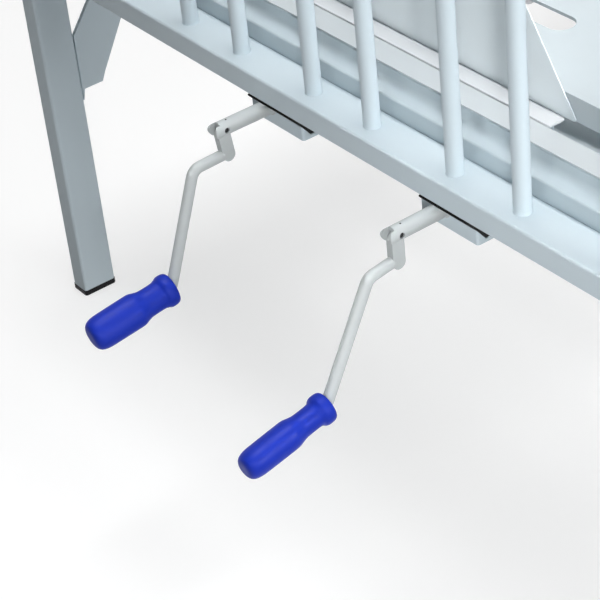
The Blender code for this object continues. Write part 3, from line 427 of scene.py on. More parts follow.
def make_coating():
    """Baked-on coating: cloudy colour, uneven gloss and a fine orange peel."""
    tree, entry, exit_ = node_group("coating", [
        ("Colour", "NodeSocketColor", (0.6, 0.65, 0.7, 1.0)),
        ("Cloud", "NodeSocketFloat", 0.03),
        ("Gloss", "NodeSocketFloat", 0.35),
        ("Gloss spread", "NodeSocketFloat", 0.08),
        ("Peel scale", "NodeSocketFloat", 700.0),
    ], [("Colour", "NodeSocketColor"), ("Roughness", "NodeSocketFloat"), ("Height", "NodeSocketFloat")])
    coords = object_coords(tree)
    low = arithmetic(tree, "SUBTRACT", 1.0, entry.outputs["Cloud"])
    high = arithmetic(tree, "ADD", 1.0, entry.outputs["Cloud"])
    cloud = ramp(tree, noise(tree, coords, 7.0, 4.0), low, high)
    tree.links.new(tint(tree, entry.outputs["Colour"], cloud), exit_.inputs["Colour"])
    smear = ramp(tree, noise(tree, coords, 55.0, 4.0, 0.6), -1.0, 1.0)
    spread = arithmetic(tree, "MULTIPLY", smear, entry.outputs["Gloss spread"])
    tree.links.new(arithmetic(tree, "ADD", entry.outputs["Gloss"], spread), exit_.inputs["Roughness"])
    peel = noise(tree, coords, entry.outputs["Peel scale"], 1.5)
    tree.links.new(peel, exit_.inputs["Height"])
    return tree


def make_metal_marks():
    """Bright plated steel: spangle in the colour and fine drawn lines in gloss and height."""
    tree, entry, exit_ = node_group("metal_marks", [
        ("Colour", "NodeSocketColor", (0.55, 0.56, 0.58, 1.0)),
        ("Gloss", "NodeSocketFloat", 0.32),
        ("Line scale", "NodeSocketFloat", 1200.0),
    ], [("Colour", "NodeSocketColor"), ("Roughness", "NodeSocketFloat"), ("Height", "NodeSocketFloat")])
    coords = object_coords(tree)
    flakes = tree.nodes.new("ShaderNodeTexVoronoi")
    flakes.inputs["Scale"].default_value = 140.0
    tree.links.new(coords, flakes.inputs["Vector"])
    grey = tree.nodes.new("ShaderNodeSeparateColor")
    tree.links.new(flakes.outputs["Color"], grey.inputs["Color"])
    spangle = ramp(tree, grey.outputs[0], 0.9, 1.08, 0.0, 1.0)
    tree.links.new(tint(tree, entry.outputs["Colour"], spangle), exit_.inputs["Colour"])
    stretch = tree.nodes.new("ShaderNodeMapping")
    stretch.inputs["Scale"].default_value = (1.0, 0.02, 1.0)
    tree.links.new(coords, stretch.inputs["Vector"])
    lines = noise(tree, stretch.outputs["Vector"], entry.outputs["Line scale"], 2.0)
    rough = ramp(tree, lines, -0.08, 0.1)
    tree.links.new(arithmetic(tree, "ADD", entry.outputs["Gloss"], rough), exit_.inputs["Roughness"])
    tree.links.new(lines, exit_.inputs["Height"])
    return tree


GROUPS = {"coating": make_coating(), "metal_marks": make_metal_marks()}


def finish(name, group, values, bump, shader_values):
    """A material whose colour, gloss and bump come from one of the groups."""
    mat = bpy.data.materials.new(name)
    mat.use_nodes = True
    tree = mat.node_tree
    shader = tree.nodes["Principled BSDF"]
    for label, value in shader_values.items():
        shader.inputs[label].default_value = value
    marks = tree.nodes.new("ShaderNodeGroup")
    marks.node_tree = GROUPS[group]
    for label, value in values.items():
        marks.inputs[label].default_value = value
    tree.links.new(marks.outputs["Colour"], shader.inputs["Base Color"])
    tree.links.new(marks.outputs["Roughness"], shader.inputs["Roughness"])
    relief = tree.nodes.new("ShaderNodeBump")
    relief.inputs["Strength"].default_value = bump
    relief.inputs["Distance"].default_value = BUMP_DEPTH
    tree.links.new(marks.outputs["Height"], relief.inputs["Height"])
    tree.links.new(relief.outputs["Normal"], shader.inputs["Normal"])
    return mat


BUMP_DEPTH = 0.0002
# colour, cloud, gloss, gloss spread, peel scale, bump, specular level
COATINGS = {
    "frame_paint": ((0.60, 0.69, 0.74), 0.02, 0.40, 0.06, 900.0, 0.10, 0.10),
    # Darker copy of the frame paint for the step member and the strip bearer, toning down where the lamps light
    # them strongly: painted shade.
    "member_paint_with_painted_shade": ((0.52, 0.60, 0.64), 0.02, 0.44, 0.06, 900.0, 0.10, 0.10),
    # Darker copy of the panel paint that the strip carries, toning down the brightly lit platform: painted
    # shade.
    "panel_paint": ((0.54, 0.60, 0.63), 0.02, 0.42, 0.06, 900.0, 0.10, 0.20),
    # Lighter copy of the frame paint, brightening the stop and the rebate sheet where they get little light:
    # painted light.
    "stop_paint_with_painted_light": ((0.79, 0.86, 0.89), 0.02, 0.42, 0.06, 900.0, 0.10, 0.20),
    "strip_paint": ((0.68, 0.70, 0.72), 0.02, 0.42, 0.06, 900.0, 0.10, 0.20),
    # Darker copy of the strip's paint for the brightly lit cover strip: painted shade.
    "cover_paint_with_painted_shade": ((0.56, 0.60, 0.62), 0.02, 0.42, 0.06, 900.0, 0.10, 0.20),
    "crank_paint": ((0.53, 0.565, 0.57), 0.03, 0.36, 0.08, 1100.0, 0.10, 0.10),
    "cap_black": ((0.006, 0.006, 0.007), 0.15, 0.55, 0.10, 1500.0, 0.25, 0.15),
    "grip_blue": ((0.009, 0.029, 0.37), 0.05, 0.45, 0.07, 1300.0, 0.12, 0.14),
    "roller_nylon": ((0.78, 0.78, 0.75), 0.03, 0.48, 0.08, 1300.0, 0.15, 0.50),
}
# colour, gloss, metallic
METALS = {
    "zinc_steel": ((0.55, 0.56, 0.58), 0.34, 1.0),
    "dark_steel": ((0.03, 0.03, 0.032), 0.45, 0.6),
}
METAL_BUMP = 0.08
FINISHES = {}
for label, (colour, cloud, gloss, spread, peel, bump, specular) in COATINGS.items():
    FINISHES[label] = finish(label, "coating", {
        "Colour": (*colour, 1.0), "Cloud": cloud, "Gloss": gloss, "Gloss spread": spread,
        "Peel scale": peel}, bump, {"Specular IOR Level": specular})
for label, (colour, gloss, metallic) in METALS.items():
    FINISHES[label] = finish(label, "metal_marks", {"Colour": (*colour, 1.0), "Gloss": gloss},
                             METAL_BUMP, {"Metallic": metallic})


def settle(obj, name, body, look, *nodes):
    """Names and finishes a piece, and hands it to the body that carries it."""
    obj.name = name
    obj.data.name = name
    obj.data.materials.clear()
    obj.data.materials.append(FINISHES[look])
    obj.data.polygons.foreach_set("material_index", [0] * len(obj.data.polygons))
    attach(obj, body)
    if nodes:
        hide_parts(*nodes)
    return obj


# End frames

def spindle_places():
    places = []
    for pair in range(SPINDLE_PAIRS):
        centre = (pair - (SPINDLE_PAIRS - 1) / 2) * SPINDLE_STEP
        places += [centre - SPINDLE_PAIR / 2, centre + SPINDLE_PAIR / 2]
    return places


def make_spindle(y, top):
    """Round bar with the weld round its foot and its head."""
    length = top - RAIL_TOP
    swell = [(0.5, -0.3), (0.45, 0.2), (0.25, 0.6), (0.12, 1.0), (0.04, 1.5), (0.0, 2.0)]
    foot = [(SPINDLE_RADIUS + r, z) for r, z in swell]
    head = [(r, length - z) for r, z in reversed(foot)]
    obj = turned(foot + head, SPINDLE_FACETS, spot(0, y, RAIL_TOP))
    axis = spot(0, y, 0)

    def every_fourth(vert):
        reach = vert.co - axis
        turn = math.atan2(reach.y, reach.x) / (2 * math.pi) * SPINDLE_FACETS
        return reach.xy.length > (SPINDLE_RADIUS + 0.2) * MM and round(turn) % 4 == 0

    pick(obj, "VERT", every_fourth)
    bpy.ops.transform.resize(value=(0.97, 0.97, 1), center_override=axis)
    leave_edit()
    return soften(obj)


def make_cap(low, high):
    """Moulded foot cap: a rounded sole with a plug that goes up the tube."""
    rim = CAP_RIM * MM
    obj = block((low.x - rim, low.y - rim, low.z), (high.x + rim, high.y + rim, low.z + CAP_SOLE * MM))
    round_edges(obj, running(2), TUBE_CORNER, 5)
    round_edges(obj, lambda e: all(v.co.z < low.z + 1e-5 for v in e.verts), 1.0, 2)
    pick(obj, "FACE", lambda f: f.normal.z > 0.9)
    bpy.ops.mesh.inset(thickness=2.3 * MM)
    draw_out(0, 0, CAP_PLUG * MM)
    bpy.ops.mesh.inset(thickness=0.8 * MM)
    draw_out(0, 0, 1.4 * MM)
    leave_edit()
    return soften(obj)


def end_frames():
    for end, front, height in (("foot", 0.0, FOOT_HEIGHT), ("head", BED_LENGTH - END_DEPTH, HEAD_HEIGHT)):
        under_top = height - TOP_RAIL
        for side in ("left", "right"):
            low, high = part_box(f"{end}_leg_{side}")
            tube = square_tube(low, high, 2, TUBE_WALL, TUBE_CORNER)
            settle(tube, f"{end}_leg_tube_{side}", "frame", "frame_paint", f"{end}_leg_{side}")
            low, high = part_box(f"{end}_leg_cap_{side}")
            cap = make_cap(low, high)
            settle(cap, f"{end}_foot_cap_{side}", "frame", "cap_black", f"{end}_leg_cap_{side}")
        low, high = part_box(f"{end}_top_rail")
        top = square_tube(low, high, 0, TUBE_WALL, TUBE_CORNER)
        settle(top, f"{end}_top_tube", "frame", "frame_paint", f"{end}_top_rail")
        plug = block(spot(497, front + 0.4, under_top + 0.4),
                     spot(502, front + END_DEPTH - 0.4, height - 0.4))
        round_edges(plug, running(0), 2.6, 5)
        round_edges(plug, lambda e: all(v.co.x > 0.5015 for v in e.verts), 1.4, 3)
        leave_edit()
        soften(plug)
        other = copied(plug, flip=True)
        settle(plug, f"{end}_top_plug_right", "frame", "cap_black")
        settle(other, f"{end}_top_plug_left", "frame", "cap_black")
        low = spot(-LEG_INNER + 0.3, front, RAIL_BOTTOM)
        high = spot(LEG_INNER - 0.3, front + END_DEPTH, RAIL_TOP)
        rail = square_tube(low, high, 0, TUBE_WALL, RAIL_CORNER)
        settle(rail, f"{end}_lower_tube", "frame", "frame_paint", f"{end}_lower_rail")
        spindle = make_spindle(front + END_DEPTH / 2, under_top)
        for number, x in enumerate(spindle_places(), 1):
            bar = copied(spindle, (x * MM, 0, 0))
            nodes = [f"foot_spindle_{number:02d}"] if end == "foot" else []
            settle(bar, f"{end}_bar_{number:02d}", "frame", "frame_paint", *nodes)
        bpy.data.objects.remove(spindle, do_unlink=True)
        near, far = front + 2.5, front + 35.5
        over, under = (weld(spot(475.6, near, z), spot(475.6, far, z), 1.9)
                       for z in (RAIL_TOP + 0.2, RAIL_BOTTOM - 0.2))
        seam = soften(joined(over, under), 60)
        other = copied(seam, flip=True)
        settle(seam, f"{end}_rail_weld_right", "frame", "frame_paint")
        settle(other, f"{end}_rail_weld_left", "frame", "frame_paint")


# Bed frame

def bed_frame():
    for side in ("left", "right"):
        low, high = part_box(f"side_rail_{side}")
        rail = square_tube(low, high, 1, FRAME_WALL, TUBE_CORNER)
        settle(rail, f"side_tube_{side}", "frame", "frame_paint", f"side_rail_{side}")
        for end in ("foot", "head"):
            node = f"{end}_leg_brace_{side}"
            settle(soften(eased(node, 0.8)), f"{end}_brace_plate_{side}", "frame", "frame_paint", node)
        for section in ("thigh", "back"):
            node = f"{section}_hinge_ear_{side}"
            settle(soften(eased(node, 0.7)), f"{section}_ear_plate_{side}", "frame", "frame_paint", node)
    for node in ("seat_cross_rail", "head_cross_member"):
        low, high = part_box(node)
        tube = square_tube(low, high, 0, FRAME_WALL, TUBE_CORNER)
        settle(tube, f"{node}_tube", "frame", "frame_paint", node)
    rounded = [((MEMBER_FRONT, LEDGE_Z), 1.8), ((LEDGE_BACK, LEDGE_Z), 8.0), ((LEDGE_BACK, SHELF_Z), 2.6),
               ((SHELF_BACK, SHELF_Z), 1.2), ((SHELF_BACK, LEDGE_Z), 3.0), ((REBATE_BACK, LEDGE_Z), 2.0)]
    points = [(MEMBER_FRONT, MEMBER_BOTTOM)] + [corner for corner, _ in rounded] + [(REBATE_BACK, 426)]
    member = folded_sheet(points, rounded, -475.7, 475.7, MEMBER_SHEET)
    ease(member, 0.5, angle=60)
    # The step member's paint is a darkened copy of the frame paint: painted shade.
    settle(soften(member), "foot_step_member", "frame", "member_paint_with_painted_shade", "foot_cross_member")
    # The cover strip's paint is darkened: painted shade.
    cover = block(spot(-475.2, 57.6, 448.1), spot(475.2, 80.5, 449.2))
    settle(soften(ease(cover, 0.45)), "foot_cover_strip", "frame", "cover_paint_with_painted_shade")
    filler = block(spot(-475, 38.2, 408), spot(475, 44.3, 414.5))
    round_edges(filler, lambda e: running(0)(e) and e.verts[0].co.z > 0.414, 1.5, 3)
    leave_edit()
    settle(soften(ease(filler, 0.4)), "foot_filler_bar", "frame", "frame_paint")
    # A pale sheet laid along the shaded rebate to lift its shade: painted light.
    painted_light_sheet = block(spot(-475, 80.2, 431.1), spot(475, 127.6, PAINTED_LIGHT_SHEET_TOP))
    settle(soften(ease(painted_light_sheet, 0.3)), "foot_rebate_painted_light_sheet", "frame", "stop_paint_with_painted_light")
    low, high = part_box("foot_rest_strip")
    bearer = block((low.x + 9 * MM, low.y + 3 * MM, (PAINTED_LIGHT_SHEET_TOP + 0.1) * MM),
                   (high.x - 9 * MM, high.y - 3 * MM, low.z))
    settle(soften(ease(bearer, 0.5)), "foot_strip_bearer", "frame", "member_paint_with_painted_shade")
    strip = block(low, high)
    round_edges(strip, running(2), 1.5, 3)
    leave_edit()
    settle(soften(ease(strip, 0.5)), "foot_strip", "frame", "strip_paint", "foot_rest_strip")


# Mattress platform

def flange_outline(y0, y1, eyes):
    """Side flange with an eye round each hinge axis."""
    radius = EYE_RADIUS
    top = SHEET_UNDER + 1.5
    outline = []
    low_start, low_end = y0, y1
    if eyes[0] is not None:
        outline += arc((eyes[0], HINGE_Z), radius, 90, 270, 12)
        low_start = eyes[0] + 2 * radius
    outline.append((low_start, FLANGE_BOTTOM))
    if eyes[1] is not None:
        low_end = eyes[1] - 2 * radius
        outline.append((low_end, FLANGE_BOTTOM))
        outline += arc((eyes[1], HINGE_Z), radius, -90, 90, 12)
    else:
        outline.append((low_end, FLANGE_BOTTOM))
    return outline + [(y1, top), (y0, top)]


def platform_section(half, y0, y1, eyes, end_flange=None, relief=None):
    """Pressed sheet with round-ended slots and turned-down flanges that carry the hinge eyes."""
    sheet = block(spot(-half, y0, SHEET_UNDER), spot(half, y1, PLATFORM_TOP))
    rows = int((y1 - y0 - 2 * SLOT_MARGIN) / SLOT_STEP_Y) + 1
    first = (y0 + y1) / 2 - (rows - 1) / 2 * SLOT_STEP_Y
    left = -SLOT_STEP_X - SLOT_LENGTH / 2
    slot = block(spot(left, first - SLOT_WIDTH / 2, 455), spot(left + SLOT_LENGTH, first + SLOT_WIDTH / 2, 485))
    round_edges(slot, running(2), SLOT_WIDTH / 2 - 0.1, 8)
    leave_edit()
    for count, step in ((SLOT_COLUMNS, (SLOT_STEP_X * MM, 0, 0)), (rows, (0, SLOT_STEP_Y * MM, 0))):
        apply(slot, "ARRAY", count=count, use_relative_offset=False, use_constant_offset=True,
              constant_offset_displace=step)
    cut(sheet, slot)
    if relief is not None:
        for sign in (-1, 1):
            a, b = sorted((sign * 456.0, sign * (half + 10)))
            cut(sheet, block(spot(a, relief[0], 450), spot(b, relief[1], 490)))
    outline = flange_outline(y0 + 0.3, y1 - 0.3, eyes)
    for sign in (-1, 1):
        a, b = sorted((sign * (half - 0.3), sign * (half - 0.3 - FLANGE_SHEET)))
        fuse(sheet, plate(outline, 0, a, b, edge=0))
        for eye in eyes:
            if eye is not None:
                hole = turned([(EYE_BORE, -10), (EYE_BORE, 10)], 32, spot(a, eye, HINGE_Z), (1, 0, 0))
                cut(sheet, hole)
    if end_flange is not None:
        inward = FLANGE_SHEET if end_flange < (y0 + y1) / 2 else -FLANGE_SHEET
        near, far = sorted((end_flange, end_flange + inward))
        reach = half - 1.8
        fuse(sheet, block(spot(-reach, near, FLANGE_BOTTOM), spot(reach, far, SHEET_UNDER + 1.5)))
    edit_all(sheet)
    bpy.ops.mesh.remove_doubles(threshold=1e-6)
    bpy.ops.mesh.dissolve_limited(angle_limit=math.radians(1))
    leave_edit()
    return soften(ease(sheet, 0.6, angle=50))


def platform():
    # The sections take the darkened panel paint: painted shade.
    back = platform_section(SWING_HALF, BACK_Y + 2, 1975, (BACK_Y, None), 1974.7,
                            (BACK_Y - 2, BACK_Y + 34))
    settle(back, "back_section", "backrest", "panel_paint", "back_panel")
    seat = platform_section(SEAT_HALF, THIGH_Y + 12, BACK_Y - 12, (THIGH_Y, BACK_Y))
    settle(seat, "seat_section", "frame", "panel_paint", "seat_panel")
    thigh = platform_section(SWING_HALF, KNEE_Y + 2.3, THIGH_Y - 2, (KNEE_Y, THIGH_Y), None,
                             (THIGH_Y - 34, THIGH_Y + 2))
    settle(thigh, "thigh_section", "thigh", "panel_paint", "thigh_panel")
    calf = platform_section(SEAT_HALF, 102.1, KNEE_Y - 2.3, (None, KNEE_Y), 102.4)
    settle(calf, "calf_section", "calf", "panel_paint", "calf_panel")
    for name, body, y, half in (("back", "frame", BACK_Y, 474.5), ("thigh", "frame", THIGH_Y, 474.5),
                                ("knee", "thigh", KNEE_Y, 469.0)):
        rod = turned([(4.2, -half), (HINGE_ROD, -half + 0.8), (HINGE_ROD, half - 0.8), (4.2, half)], 40,
                     spot(0, y, HINGE_Z), (1, 0, 0))
        settle(soften(rod), f"{name}_rod", body, "zinc_steel", f"{name}_hinge_rod")
    outline = [(-190, 448), (190, 448), (135, 530), (-135, 530)]
    stop = plate(outline, 1, 100.6, 101.8, rounding=5.0, edge=0.4)
    # The stop's paint is lightened: painted light.
    settle(soften(stop), "mattress_end_stop", "calf", "stop_paint_with_painted_light", "mattress_stop")
    tread = [(4.3, 0), (6.8, 0), (7.2, 0.4), (7.2, 1.6), (10.4, 1.6), (10.4, 0.8), (11.0, 0.2),
             (12.3, 0.5), (13.0, 1.8), (13.0, 15.2), (12.3, 16.5), (11.0, 16.8), (10.4, 16.2),
             (10.4, 15.4), (7.2, 15.4), (7.2, 16.6), (6.8, 17.0), (4.3, 17.0), (4.3, 0)]
    axle = [(3.6, 0), (4.0, 0.4), (4.0, 39.3), (5.6, 39.3), (6.0, 39.6), (6.0, 40.3), (5.2, 40.9),
            (2.0, 41.1)]
    for side, sign in (("left", -1), ("right", 1)):
        wheel = turned(tread, 56, spot(sign * 478.5, ROLLER_Y, ROLLER_Z), (sign, 0, 0))
        settle(soften(wheel), f"roller_tread_{side}", f"roller_{side}", "roller_nylon", f"calf_roller_{side}")
        shaft = turned(axle, 40, spot(sign * 456.5, ROLLER_Y, ROLLER_Z), (sign, 0, 0))
        settle(soften(shaft), f"roller_axle_{side}", "calf", "zinc_steel")


# Cranks

def shaft_hole(x, clearance):
    """Tool that bores a hole for the shaft."""
    radius = SHAFT_RADIUS + clearance
    return turned([(radius, 0), (radius, 60)], SHAFT_FACETS, spot(x, 0, SHAFT_Z), (0, 1, 0))


def pin_hole(x, pin_y):
    """Tool that bores a hole for the cross pin."""
    return turned([(PIN_BORE, -10), (PIN_BORE, 10)], 32, spot(x, pin_y, SHAFT_Z), (1, 0, 0))


def crank_bracket(name, x):
    """Folded tray under the rail, the bearing block that the shaft turns in, black so that it also stands in
    the gap under the rail as painted shade, and a black strip under the rail's front edge that is painted
    shadow.
    """
    x0, x1 = x - BRACKET_LEFT, x + BRACKET_RIGHT[name]
    tray = block(spot(x0, 11, 369.5), spot(x1, 38, 396.7))
    round_edges(tray, running(2), 3, 6)
    round_edges(tray, lambda e: all(v.co.z < 0.3696 for v in e.verts), 1.0, 3)
    pick(tray, "FACE", lambda f: f.normal.z > 0.9)
    bpy.ops.mesh.delete(type="ONLY_FACE")
    leave_edit()
    apply(tray, "SOLIDIFY", thickness=2.4 * MM, offset=-1)
    opening = [(0, 383.6), (11.3, 383.6), (19.2, 373.4), (35.5, 373.0), (35.5, 400), (0, 400)]
    cut(tray, plate(opening, 0, x0 - 10, x1 + 10, edge=0))
    cut(tray, shaft_hole(x, 0.5))
    settle(soften(ease(tray, 0.4, angle=50)), f"{name}_tray", "frame", "frame_paint", f"{name}_crank_bracket")
    # Black bearing block: partly a real bearing, partly painted shade filling the gap under the rail.
    side = [(11.3, 383.9), (19.3, 373.7), (35.2, 373.7), (35.2, 396.7), (11.3, 396.7)]
    bearing = plate(side, 0, x0 + 0.3, x1 - 0.3, edge=0)
    round_edges(bearing, running(2), 2.7, 6)
    leave_edit()
    cut(bearing, shaft_hole(x, 0.3))
    settle(soften(ease(bearing, 0.4, angle=50)), f"{name}_bearing", "frame", "cap_black")
    # A black strip just under the rail's front edge: painted shadow.
    painted_shadow_strip = block(spot(x0 + 12.4, 0.2, 395.0), spot(x1 - 0.4, 8.6, 396.7))
    settle(soften(ease(painted_shadow_strip, 0.3)), f"{name}_packing", "frame", "cap_black")


def screw_thread(x, start, end, left_handed):
    """The helical crest, swept up the core of the shaft."""
    turns = int((end - start) / THREAD_PITCH)
    deselect()
    bpy.ops.mesh.primitive_plane_add(size=1)
    crest = bpy.context.object
    edit_all(crest)
    shape = bmesh.from_edit_mesh(crest.data)
    for vert in shape.verts:
        outer = vert.co.x > 0
        side = 1 if vert.co.y > 0 else -1
        vert.co = Vector((SHAFT_RADIUS - (0.05 if outer else 1.3), 0, side * (0.55 if outer else 1.3))) * MM
    bmesh.update_edit_mesh(crest.data)
    leave_edit()
    one_turn = (-1 if left_handed else 1) * 2 * math.pi
    apply(crest, "SCREW", axis="Z", screw_offset=THREAD_PITCH * MM, angle=one_turn, iterations=turns,
          steps=28, render_steps=28, use_merge_vertices=True)
    edit_all(crest)
    close_up(crest)
    turn = Vector((0, 0, 1)).rotation_difference(Vector((0, 1, 0))).to_matrix().to_4x4()
    crest.matrix_world = Matrix.Translation(spot(x, start + 1.5, SHAFT_Z)) @ turn
    return fix_place(crest)


def crank_shaft(name, x, reach, end, thread):
    """Forked tube with its flange and collar, running on as the lifting screw."""
    r = SHAFT_RADIUS
    core = r - 1.1
    pin_y = PIN_SETBACK - reach
    profile = [(r, -reach), (r, 9.1), (7.7, 9.1), (8.0, 9.4), (8.0, 10.4), (7.7, 10.7), (r, 10.7),
               (r, 38.3), (8.6, 38.3), (9.0, 38.7), (9.0, 43.3), (8.6, 43.7), (r, 43.7),
               (r, thread[0] - 1.5), (core, thread[0]), (core, end - 0.8), (core - 0.8, end)]
    shaft = turned(profile, SHAFT_FACETS, spot(x, 0, SHAFT_Z), (0, 1, 0))
    slot = block(spot(x - 4, -70, 360), spot(x + 4, pin_y + 32, SHAFT_Z + 4.4))
    mouth = block(spot(x - 4, -70, 360), spot(x + 4, 6 - reach, 420))
    cut(shaft, slot, mouth)
    for sign in (1, -1):
        rounding = arc((r - reach, SHAFT_Z), r, 90 * sign, 180 * sign, 10)
        rounding += [(-reach - 10, SHAFT_Z), (-reach - 10, SHAFT_Z + sign * 10)]
        rounding += [(r - reach, SHAFT_Z + sign * 10)]
        cut(shaft, plate(rounding, 0, x - 10, x + 10, edge=0))
    cut(shaft, pin_hole(x, pin_y))
    ease(shaft, 0.35, angle=50)
    crest = screw_thread(x, thread[0], thread[1], name == "back")
    soften(joined(shaft, crest))
    settle(shaft, f"{name}_fork_shaft", f"{name}_crank", "crank_paint", f"{name}_crank_shaft")
    pin = turned([(1.8, -5.9), (2.25, -5.55), (2.25, 5.55), (1.8, 5.9)], 32,
                 spot(x, pin_y, SHAFT_Z), (1, 0, 0))
    settle(soften(pin), f"{name}_cross_pin", f"{name}_crank", "dark_steel", f"{name}_crank_pin")
    grub = turned([(1.0, -1.2), (1.0, 0.0), (0.6, 0.15)], 16,
                  spot(x + 0.5, pin_y + 3.5, SHAFT_Z + r - 0.1))
    settle(soften(grub), f"{name}_grub_screw", f"{name}_crank", "dark_steel")


def crank_arm(name, x, shape):
    """Flat knuckle with the bent rod, and the grip that turns on it."""
    pin_y = PIN_SETBACK - shape["reach"]
    fold = math.radians(shape["fold"])
    stub_fall, lean, grip_fall = (math.radians(shape[k]) for k in ("stub_fall", "lean", "grip_fall"))

    def turned_point(y, z):
        return (pin_y + y * math.cos(fold) - z * math.sin(fold),
                SHAFT_Z + y * math.sin(fold) + z * math.cos(fold))

    outline = arc((0, 0), 3.9, 0, 100, 10) + [(-8, -3.9)] + arc((-2.05, -25.55), 5.95, 180, 360, 16)
    knuckle = plate([turned_point(*p) for p in outline], 0, x - KNUCKLE_HALF, x + KNUCKLE_HALF,
                    edge=0)
    stub = Vector((0, -math.cos(stub_fall), -math.sin(stub_fall)))
    down = Vector((0, -math.sin(lean), -math.cos(lean)))
    out = Vector((0, -math.cos(grip_fall), -math.sin(grip_fall)))
    start = spot(x, *turned_point(-7, -24.5))
    first = start + stub * shape["stub"] * MM
    second = first + down * ((first.z - (SHAFT_Z - shape["drop"]) * MM) / math.cos(lean))
    deselect()
    bpy.ops.mesh.primitive_circle_add(vertices=32, radius=ROD_RADIUS * MM)
    rod = bpy.context.object
    rod.matrix_world = Matrix.Translation(start) @ stub.to_track_quat("Z", "Y").to_matrix().to_4x4()
    edit_all(fix_place(rod))
    here = start
    for corner, coming, going, bend in ((first, stub, down, ROD_BEND), (second, down, out, GRIP_BEND)):
        turn = coming.angle(going)
        side = coming.cross(going).normalized()
        tangent = corner - coming * bend * MM * math.tan(turn / 2)
        centre = tangent + side.cross(coming) * bend * MM
        draw_out(*(tangent - here))
        bpy.ops.mesh.spin(steps=10, angle=turn, center=centre, axis=-side)
        here = centre + Matrix.Rotation(turn, 3, side) @ (tangent - centre)
    grip_base = here - out * GRIP_LEAD * MM
    draw_out(*(out * (GRIP_LENGTH - GRIP_LEAD - 10.3) * MM))
    close_up(rod)
    fuse(knuckle, rod)
    cut(knuckle, pin_hole(x, pin_y))
    ease(knuckle, 0.5, angle=50)
    settle(soften(knuckle), f"{name}_arm", f"{name}_handle", "crank_paint", f"{name}_crank_arm")
    end = GRIP_LENGTH
    bore = [(5.4, end - 10), (5.4, 6), (10.6, 0)]
    collar = [(12.3, 0), (12.9, 0.25), (13.4, 0.9), (13.8, 1.9), (14.1, 3.4), (14.2, 5.0), (14.2, 6.6),
              (14.05, 8.0), (13.6, 9.3), (12.9, 10.5), (12.2, 11.6), (11.75, 12.7), (11.5, 14.2)]
    neck = [(11.37, 16.5), (11.35, 20.0), (11.4, 24.5), (11.5, 27.6), (11.75, 29.6), (12.2, 31.6),
            (12.75, 33.6), (13.3, 35.4), (13.75, 37.0), (14.0, 38.8)]
    body = [(14.05, 42.0), (14.0, 55.0), (13.9, 70.0), (13.8, 73.5), (13.5, 76.5), (12.9, 79.2),
            (11.9, 81.6), (10.5, 83.3), (8.6, 84.4), (6.2, 84.9), (3.0, 85.0)]
    profile = bore + collar + neck + body
    grip = turned(profile, 64, Vector(), (0, 0, 1))
    for share, low, high in ((0.055, -1, 11.5), (0.10, 11.5, 90)):     # oval collar and body
        pick(grip, "VERT", lambda v: low * MM < v.co.z < high * MM and
             (v.co.xy.length > 11 * MM or v.co.z > (end - 9.9) * MM))
        bpy.ops.transform.resize(value=(1 + share, 1 - share, 1), center_override=(0, 0, 0))
    leave_edit()
    roll = math.radians(shape["grip_roll"])
    across = Vector((math.cos(roll), 0, math.sin(roll)))
    wide = (across - out * across.dot(out)).normalized()
    turn = Matrix((wide, out.cross(wide), out)).transposed().to_4x4()
    grip.matrix_world = Matrix.Translation(grip_base) @ turn
    fix_place(grip)
    settle(soften(grip, 60), f"{name}_handgrip", f"{name}_grip", "grip_blue", f"{name}_crank_grip")


def cranks():
    for name, shape in CRANKS.items():
        crank_bracket(name, shape["x"])
        crank_shaft(name, shape["x"], shape["reach"], shape["end"], shape["thread"])
        crank_arm(name, shape["x"], shape)


# Lifting gear

def lifting_gear():
    for node, body, width in (("back_push_tube", "back_push", 0.6), ("knee_push_tube", "knee_push", 0.6),
                              ("back_lever", "backrest", 0.8), ("thigh_lever", "thigh", 0.8)):
        settle(soften(eased(node, width)), f"{node}_steel", body, "zinc_steel", node)


# Setting

FLOOR_GREY, FLOOR_GLOW, DOME_EDGE = 0.46, 0.59, 0.04


def seen_directly(tree):
    """1 for camera, glossy and transmission rays, 0 for the light that falls on the object."""
    path = tree.nodes.new("ShaderNodeLightPath")
    seen = arithmetic(tree, "MAXIMUM", path.outputs["Is Camera Ray"], path.outputs["Is Glossy Ray"])
    return arithmetic(tree, "MAXIMUM", seen, path.outputs["Is Transmission Ray"])


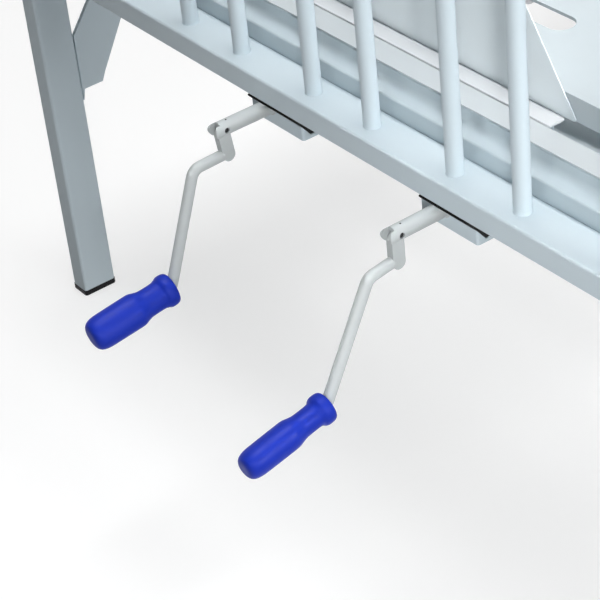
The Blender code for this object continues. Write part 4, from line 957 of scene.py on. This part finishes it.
def setting():
    deselect()
    bpy.ops.mesh.primitive_plane_add(size=60, location=(0, 0, -0.0006))
    floor = bpy.context.object
    floor.name = "studio_floor"
    mat = bpy.data.materials.new("pale_floor")
    mat.use_nodes = True
    tree = mat.node_tree
    tree.nodes.clear()
    out = tree.nodes.new("ShaderNodeOutputMaterial")
    matt = tree.nodes.new("ShaderNodeBsdfDiffuse")
    matt.inputs["Color"].default_value = (FLOOR_GREY, FLOOR_GREY, FLOOR_GREY, 1.0)
    glow = tree.nodes.new("ShaderNodeEmission")
    both = tree.nodes.new("ShaderNodeAddShader")
    strength = arithmetic(tree, "MULTIPLY", seen_directly(tree), FLOOR_GLOW)
    tree.links.new(strength, glow.inputs["Strength"])
    tree.links.new(matt.outputs[0], both.inputs[0])
    tree.links.new(glow.outputs[0], both.inputs[1])
    tree.links.new(both.outputs[0], out.inputs["Surface"])
    floor.data.materials.append(mat)

    world = bpy.data.worlds.new("soft_room")
    bpy.context.scene.world = world
    world.use_nodes = True
    tree = world.node_tree
    tree.nodes.clear()
    out = tree.nodes.new("ShaderNodeOutputWorld")
    dome = tree.nodes.new("ShaderNodeBackground")
    white = tree.nodes.new("ShaderNodeBackground")
    mix = tree.nodes.new("ShaderNodeMixShader")
    where = tree.nodes.new("ShaderNodeTexCoord")
    split = tree.nodes.new("ShaderNodeSeparateXYZ")
    tree.links.new(where.outputs["Generated"], split.inputs[0])
    tree.links.new(ramp(tree, split.outputs["Z"], 0.0, DOME_EDGE, 0.0, 1.0), dome.inputs["Strength"])
    tree.links.new(seen_directly(tree), mix.inputs["Fac"])
    tree.links.new(dome.outputs[0], mix.inputs[1])
    tree.links.new(white.outputs[0], mix.inputs[2])
    white.inputs["Color"].default_value = (1, 1, 1, 1)
    dome.inputs["Color"].default_value = (1, 1, 1, 1)
    tree.links.new(mix.outputs[0], out.inputs["Surface"])

    def soft_box(name, place, aim, size, watts, spread=180):
        data = bpy.data.lights.new(name, "AREA")
        data.shape = "RECTANGLE"
        data.size, data.size_y = size
        data.energy = watts
        data.spread = math.radians(spread)
        lamp = bpy.data.objects.new(name, data)
        bpy.context.scene.collection.objects.link(lamp)
        lamp.location = place
        lamp.rotation_euler = (Vector(aim) - Vector(place)).to_track_quat("-Z", "Y").to_euler()
        lamp.visible_camera = False
        return lamp

    soft_box("overhead_box", (-0.25, -0.85, 3.3), (-0.25, -0.85, 0.0), (1.4, 1.4), 78)
    soft_box("side_box", (3.4, -0.35, 1.3), (0.0, -0.7, 0.35), (1.4, 1.4), 80)
    soft_box("high_side_box", (2.0, 0.7, 2.8), (0.0, -0.6, 0.3), (1.5, 1.5), 18)
    soft_box("front_fill", (1.6, -2.0, 1.1), (0.24, FRONT, 0.42), (0.35, 0.35), 1.0, 40)
    soft_box("low_fill", (0.9, -2.6, 0.75), (0.26, FRONT, 0.42), (0.35, 0.25), 0.22, 32)


def photo_camera():
    data = bpy.data.cameras.new("photo_camera")
    data.sensor_width = 36.0
    data.lens = 127.302
    cam = bpy.data.objects.new("photo_camera", data)
    bpy.context.scene.collection.objects.link(cam)
    bearing, pitch, roll = (math.radians(a) for a in (56.3688, 35.0665, -6.4186))
    right = Vector((math.cos(bearing), math.sin(bearing), 0))
    level = Vector((-math.sin(bearing), math.cos(bearing), 0))
    ahead = level * math.cos(pitch) + Vector((0, 0, -math.sin(pitch)))
    up = right.cross(ahead)
    across = math.cos(roll) * right + math.sin(roll) * up
    upright = -math.sin(roll) * right + math.cos(roll) * up
    turn = Matrix((across, upright, -ahead)).transposed().to_4x4()
    cam.matrix_world = Matrix.Translation(spot(1219.3, -854.3, 1286.8)) @ turn
    bpy.context.scene.camera = cam


end_frames()
bed_frame()
platform()
cranks()
lifting_gear()
setting()
photo_camera()
bpy.context.scene.view_settings.view_transform = "Standard"

bpy.context.view_layer.update()
